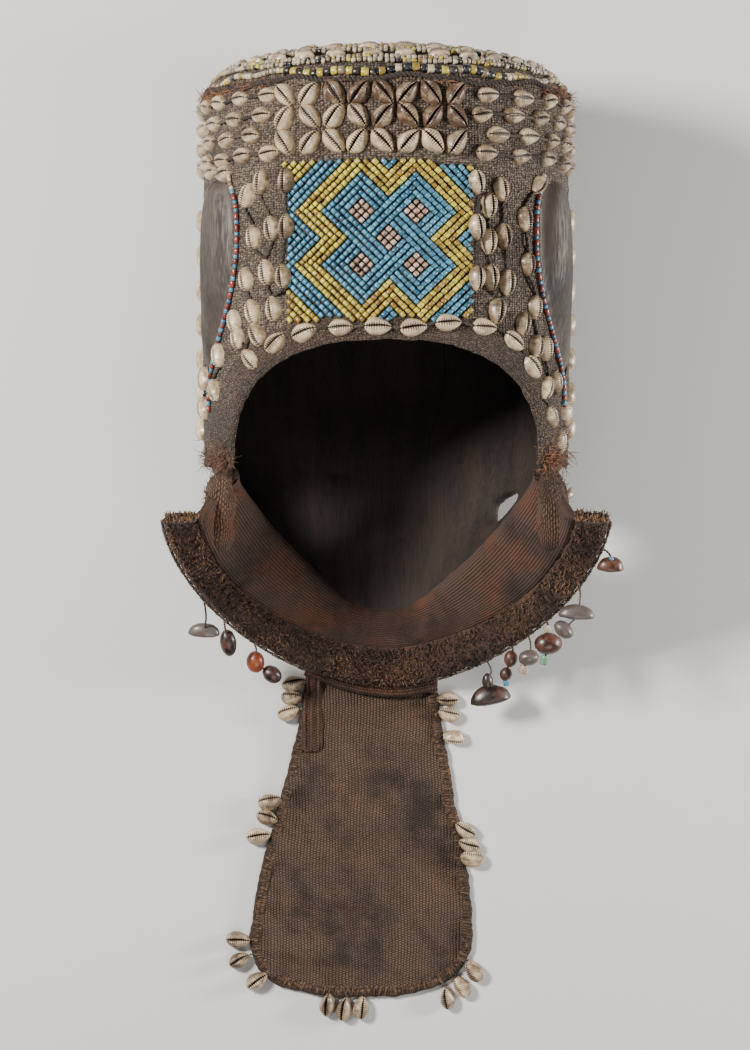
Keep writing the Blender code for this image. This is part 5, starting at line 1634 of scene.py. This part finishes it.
for name, group in EDGE_COWRIES:
    shells = Bundle()
    for x, y, heading in group:
        turn = math.radians(heading + rng.normal(0, 9))
        axis = np.array((math.cos(turn), math.sin(turn), 0))
        lean = rng.normal(0, 0.55)
        out = unit(np.array((-math.sin(turn) * lean, math.cos(turn) * lean, 1.0)))
        points, faces, marks = WHOLE_COWRIE
        place = np.array((x, y, EDGE_COWRIE_Z + 0.0003))
        placed = copy_form(points, place, axis, out, rng.uniform(0.92, 1.04))
        placed[:, 2] = np.maximum(placed[:, 2], 0.0002)
        shells.add(placed, faces, rng.uniform(0.25, 0.85), lay=marks)
        nearest = hem_path[np.argmin(np.linalg.norm(hem_path - place, axis=1))]
        end = place + axis * 0.0090 * np.sign((nearest - place) @ axis)
        knot = (end + nearest) / 2 + (0, 0, 0.0018)
        twisted_cord(ties, [end, knot, nearest + (0, 0, 0.0030)], 0.0009, rng.uniform(0.0, 0.4))
    hung = shells.piece(f"{name}_hung_cowries", SHELL)
    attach(hung, "root")
    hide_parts(f"{name}_edge_cowries")
cowrie_ties = ties.piece("edge_cowrie_ties", CORD)
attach(cowrie_ties, "root")

# Pendants. Halved seeds, beans and a few glass beads hang from the collar's edge on short cords
# of two twisted threads.
PENDANTS = (
    ("left_grey", -60, (((-0.1340, -0.0800, 0.078), (0.0118, 0.0058), "grey"),)),
    ("left_brown", -52, (((-0.1165, -0.0870, 0.070), (0.0062, 0.0105), "dark"),)),
    ("left_amber", -42, (((-0.0970, -0.1020, 0.050), (0.0068, 0.0084), "amber"),
                         ((-0.0850, -0.1115, 0.044), (0.0062, 0.0078), "dark"))),
    ("right_high", 78, (((0.1605, -0.0240, 0.160), (0.0015, 0.0015), "blue glass"),
                        ((0.1600, -0.0310, 0.156), (0.0095, 0.0060), "brown"))),
    ("right_grey", 65, (((0.1380, -0.0660, 0.118), (0.0130, 0.0060), "grey"),
                        ((0.1290, -0.0760, 0.114), (0.0080, 0.0056), "grey"))),
    ("right_brown", 51, (((0.1190, -0.0765, 0.082), (0.0036, 0.0034), "white glass"),
                         ((0.1195, -0.0875, 0.079), (0.0104, 0.0080), "brown"),
                         ((0.1170, -0.1000, 0.074), (0.0037, 0.0040), "green glass"))),
    ("right_round", 45, (((0.1060, -0.0985, 0.062), (0.0076, 0.0060), "grey"),
                         ((0.1020, -0.1075, 0.058), (0.0042, 0.0034), "pink glass"))),
    ("right_dark", 40, (((0.0930, -0.0995, 0.054), (0.0050, 0.0064), "brown"),
                        ((0.0895, -0.1110, 0.050), (0.0046, 0.0052), "dark"),
                        ((0.0900, -0.1180, 0.046), (0.0026, 0.0030), "blue glass"))),
    ("right_large", 32, (((0.0765, -0.1180, 0.033), (0.0042, 0.0070), "dark"),
                         ((0.0790, -0.1315, 0.030), (0.0152, 0.0082), "dark"))),
)
HALF_MOONS = ("left_grey", "right_grey", "right_high", "right_large")
SEED_TONE = {"grey": (0.92, 0), "brown": (0.30, 0), "dark": (0.10, 0), "amber": (0.42, 2)}
GLASS_PICK = {"white glass": 3, "blue glass": 4, "green glass": 5, "pink glass": 6}


def seed_form(half_moon, sides=20, rows=14):
    """Bean of unit radii, or one flat underneath like a halved fruit stone."""
    polar = np.radians(np.linspace(4, 176, rows))[:, None]
    round_ = np.arange(sides)[None] * 2 * np.pi / sides
    x = np.cos(polar) + 0 * round_
    y = np.sin(polar) * np.cos(round_)
    z = np.sin(polar) * np.sin(round_)
    if half_moon:
        y = np.where(y > 0, y * 1.45, y * 0.45)
    return np.stack((x, y, z), -1).reshape(-1, 3), capped_faces(rows, sides)


def seed_material(name, dark, mid, light):
    """Polished husk, mottled; its tone goes from the dark colour over the middle one to the light."""
    material, tree, shader = new_material(name, Roughness=0.3, Coat_Weight=0.3, Coat_Roughness=0.22)
    mottle = cloudy(tree, place_of(tree), 150, 4, 0.6)
    tone = calculate(tree, "ADD", marked(tree, "tone"), spread(tree, mottle, 0.3, 0.7, -0.16, 0.16))
    colour = blend_colours(tree, spread(tree, tone, 0.0, 0.45), dark, mid)
    colour = blend_colours(tree, spread(tree, tone, 0.55, 0.95), colour, light)
    tree.links.new(colour, shader.inputs["Base Color"])
    tree.links.new(spread(tree, mottle, 0.3, 0.7, 0.30, 0.60), shader.inputs["Roughness"])
    bump(tree, shader, mottle, 0.0005, 0.4)
    return material


SEED = seed_material("seed_husk", (0.009, 0.004, 0.003, 1), (0.085, 0.028, 0.013, 1),
                     (0.078, 0.065, 0.060, 1))
AMBER_SEED = seed_material("amber_husk", (0.040, 0.008, 0.003, 1), (0.190, 0.036, 0.008, 1),
                           (0.430, 0.140, 0.028, 1))
GREEN_GLASS = glass_bead("green_glass", (0.030, 0.130, 0.070, 1), (0.200, 0.420, 0.270, 1))
rng = np.random.default_rng(91)
for name, angle, seeds in PENDANTS:
    hanging = Bundle()
    _, edge_at, out_at, _ = beard_frame(np.array(float(angle)))
    route = [edge_at + out_at * 0.0010]
    for place, (across, along), kind in seeds:
        place = np.array(place)
        moon = name in HALF_MOONS and across > 0.008
        points, faces = seed_form(moon)
        long_way = across > along
        sizes = np.array((max(across, along), min(across, along), min(across, along) * 0.9))
        heading = unit(unit(place - route[-1]) * (1, 1, 0.3))
        side_way = unit(np.cross((0, 0, 1.0), heading))
        if long_way:
            placed = place + points[:, :1] * side_way * sizes[0] - points[:, 1:2] * heading * sizes[1]
        else:
            placed = place + points[:, :1] * heading * sizes[0] + points[:, 1:2] * side_way * sizes[1]
        placed = placed + points[:, 2:3] * np.cross(heading, side_way) * sizes[2]
        if "glass" in kind:
            axis = unit(place - route[-1])
            add_bead(hanging, place, axis, np.array((0, 0, 1.0)), along * 1.9, across * 1.9,
                     rng.uniform(0.4, 1), GLASS_PICK[kind])
        else:
            tone, pick = SEED_TONE[kind]
            placed += 0.05 * across * rough_values(placed, 220)[:, None]
            hanging.add(placed, faces, tone + rng.uniform(-0.06, 0.06), pick=pick)
        route.append(place)
    bow = np.array((rng.normal(0, 0.0022), rng.normal(0, 0.0008), -0.0012))
    route.insert(1, (route[0] + route[1]) / 2 + bow)
    twisted_cord(hanging, route, 0.00085, rng.uniform(0.0, 0.3), sides=5, pick=1)
    pendant = hanging.piece(f"{name}_seeds", SEED, CORD, AMBER_SEED, WHITE_GLASS, BLUE_GLASS, GREEN_GLASS,
                            PINK_GLASS)
    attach(pendant, "root")
    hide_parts(f"{name}_pendant")

# Setting. A plain pale floor, one large soft lamp high on the left, a weaker one low on the
# right for the edge light, a faint fill from beyond the beard, and the camera straight above.
floor_mesh = bpy.data.meshes.new("floor")
floor_mesh.from_pydata([(-4, -4, 0), (4, -4, 0), (4, 4, 0), (-4, 4, 0)], [], [(0, 1, 2, 3)])
floor = bpy.data.objects.new("floor", floor_mesh)
bpy.context.scene.collection.objects.link(floor)
floor_paint, _, floor_shader = new_material("pale_floor", Roughness=0.75)
floor_shader.inputs["Base Color"].default_value = (0.62, 0.62, 0.61, 1)
floor_mesh.materials.append(floor_paint)


def soft_lamp(name, place, size, power, colour, aim=(0, 0.05, 0.1)):
    data = bpy.data.lights.new(name, "AREA")
    data.shape = "DISK"
    data.size = size
    data.energy = power
    data.color = colour
    lamp = bpy.data.objects.new(name, data)
    lamp.location = place
    lamp.rotation_euler = (Vector(aim) - Vector(place)).to_track_quat("-Z", "Y").to_euler()
    bpy.context.scene.collection.objects.link(lamp)


soft_lamp("key_lamp", (-1.10, 0.50, 1.40), 0.40, 64, (1.0, 0.96, 0.90))
soft_lamp("edge_lamp", (1.45, 0.10, 0.45), 0.40, 34, (1.0, 0.97, 0.93))
soft_lamp("front_fill", (0.30, -1.1, 1.5), 1.0, 10, (1.0, 0.95, 0.90))
world = bpy.data.worlds.new("studio")
bpy.context.scene.world = world
world.use_nodes = True
sky = world.node_tree.nodes["Background"]
sky.inputs["Color"].default_value = (0.90, 0.93, 1.0, 1)
sky.inputs["Strength"].default_value = 0.16
camera_data = bpy.data.cameras.new("overhead_camera")
camera_data.sensor_fit = "VERTICAL"
camera_data.sensor_height = 36
camera_data.lens = 36 * PHOTO_FOCAL / (2 * PHOTO_CENTRE[1])
camera = bpy.data.objects.new("overhead_camera", camera_data)
camera.location = (CAMERA_X + MASK_SHIFT[0], MASK_SHIFT[1], CAMERA_HEIGHT)
bpy.context.scene.collection.objects.link(camera)
bpy.context.scene.camera = camera
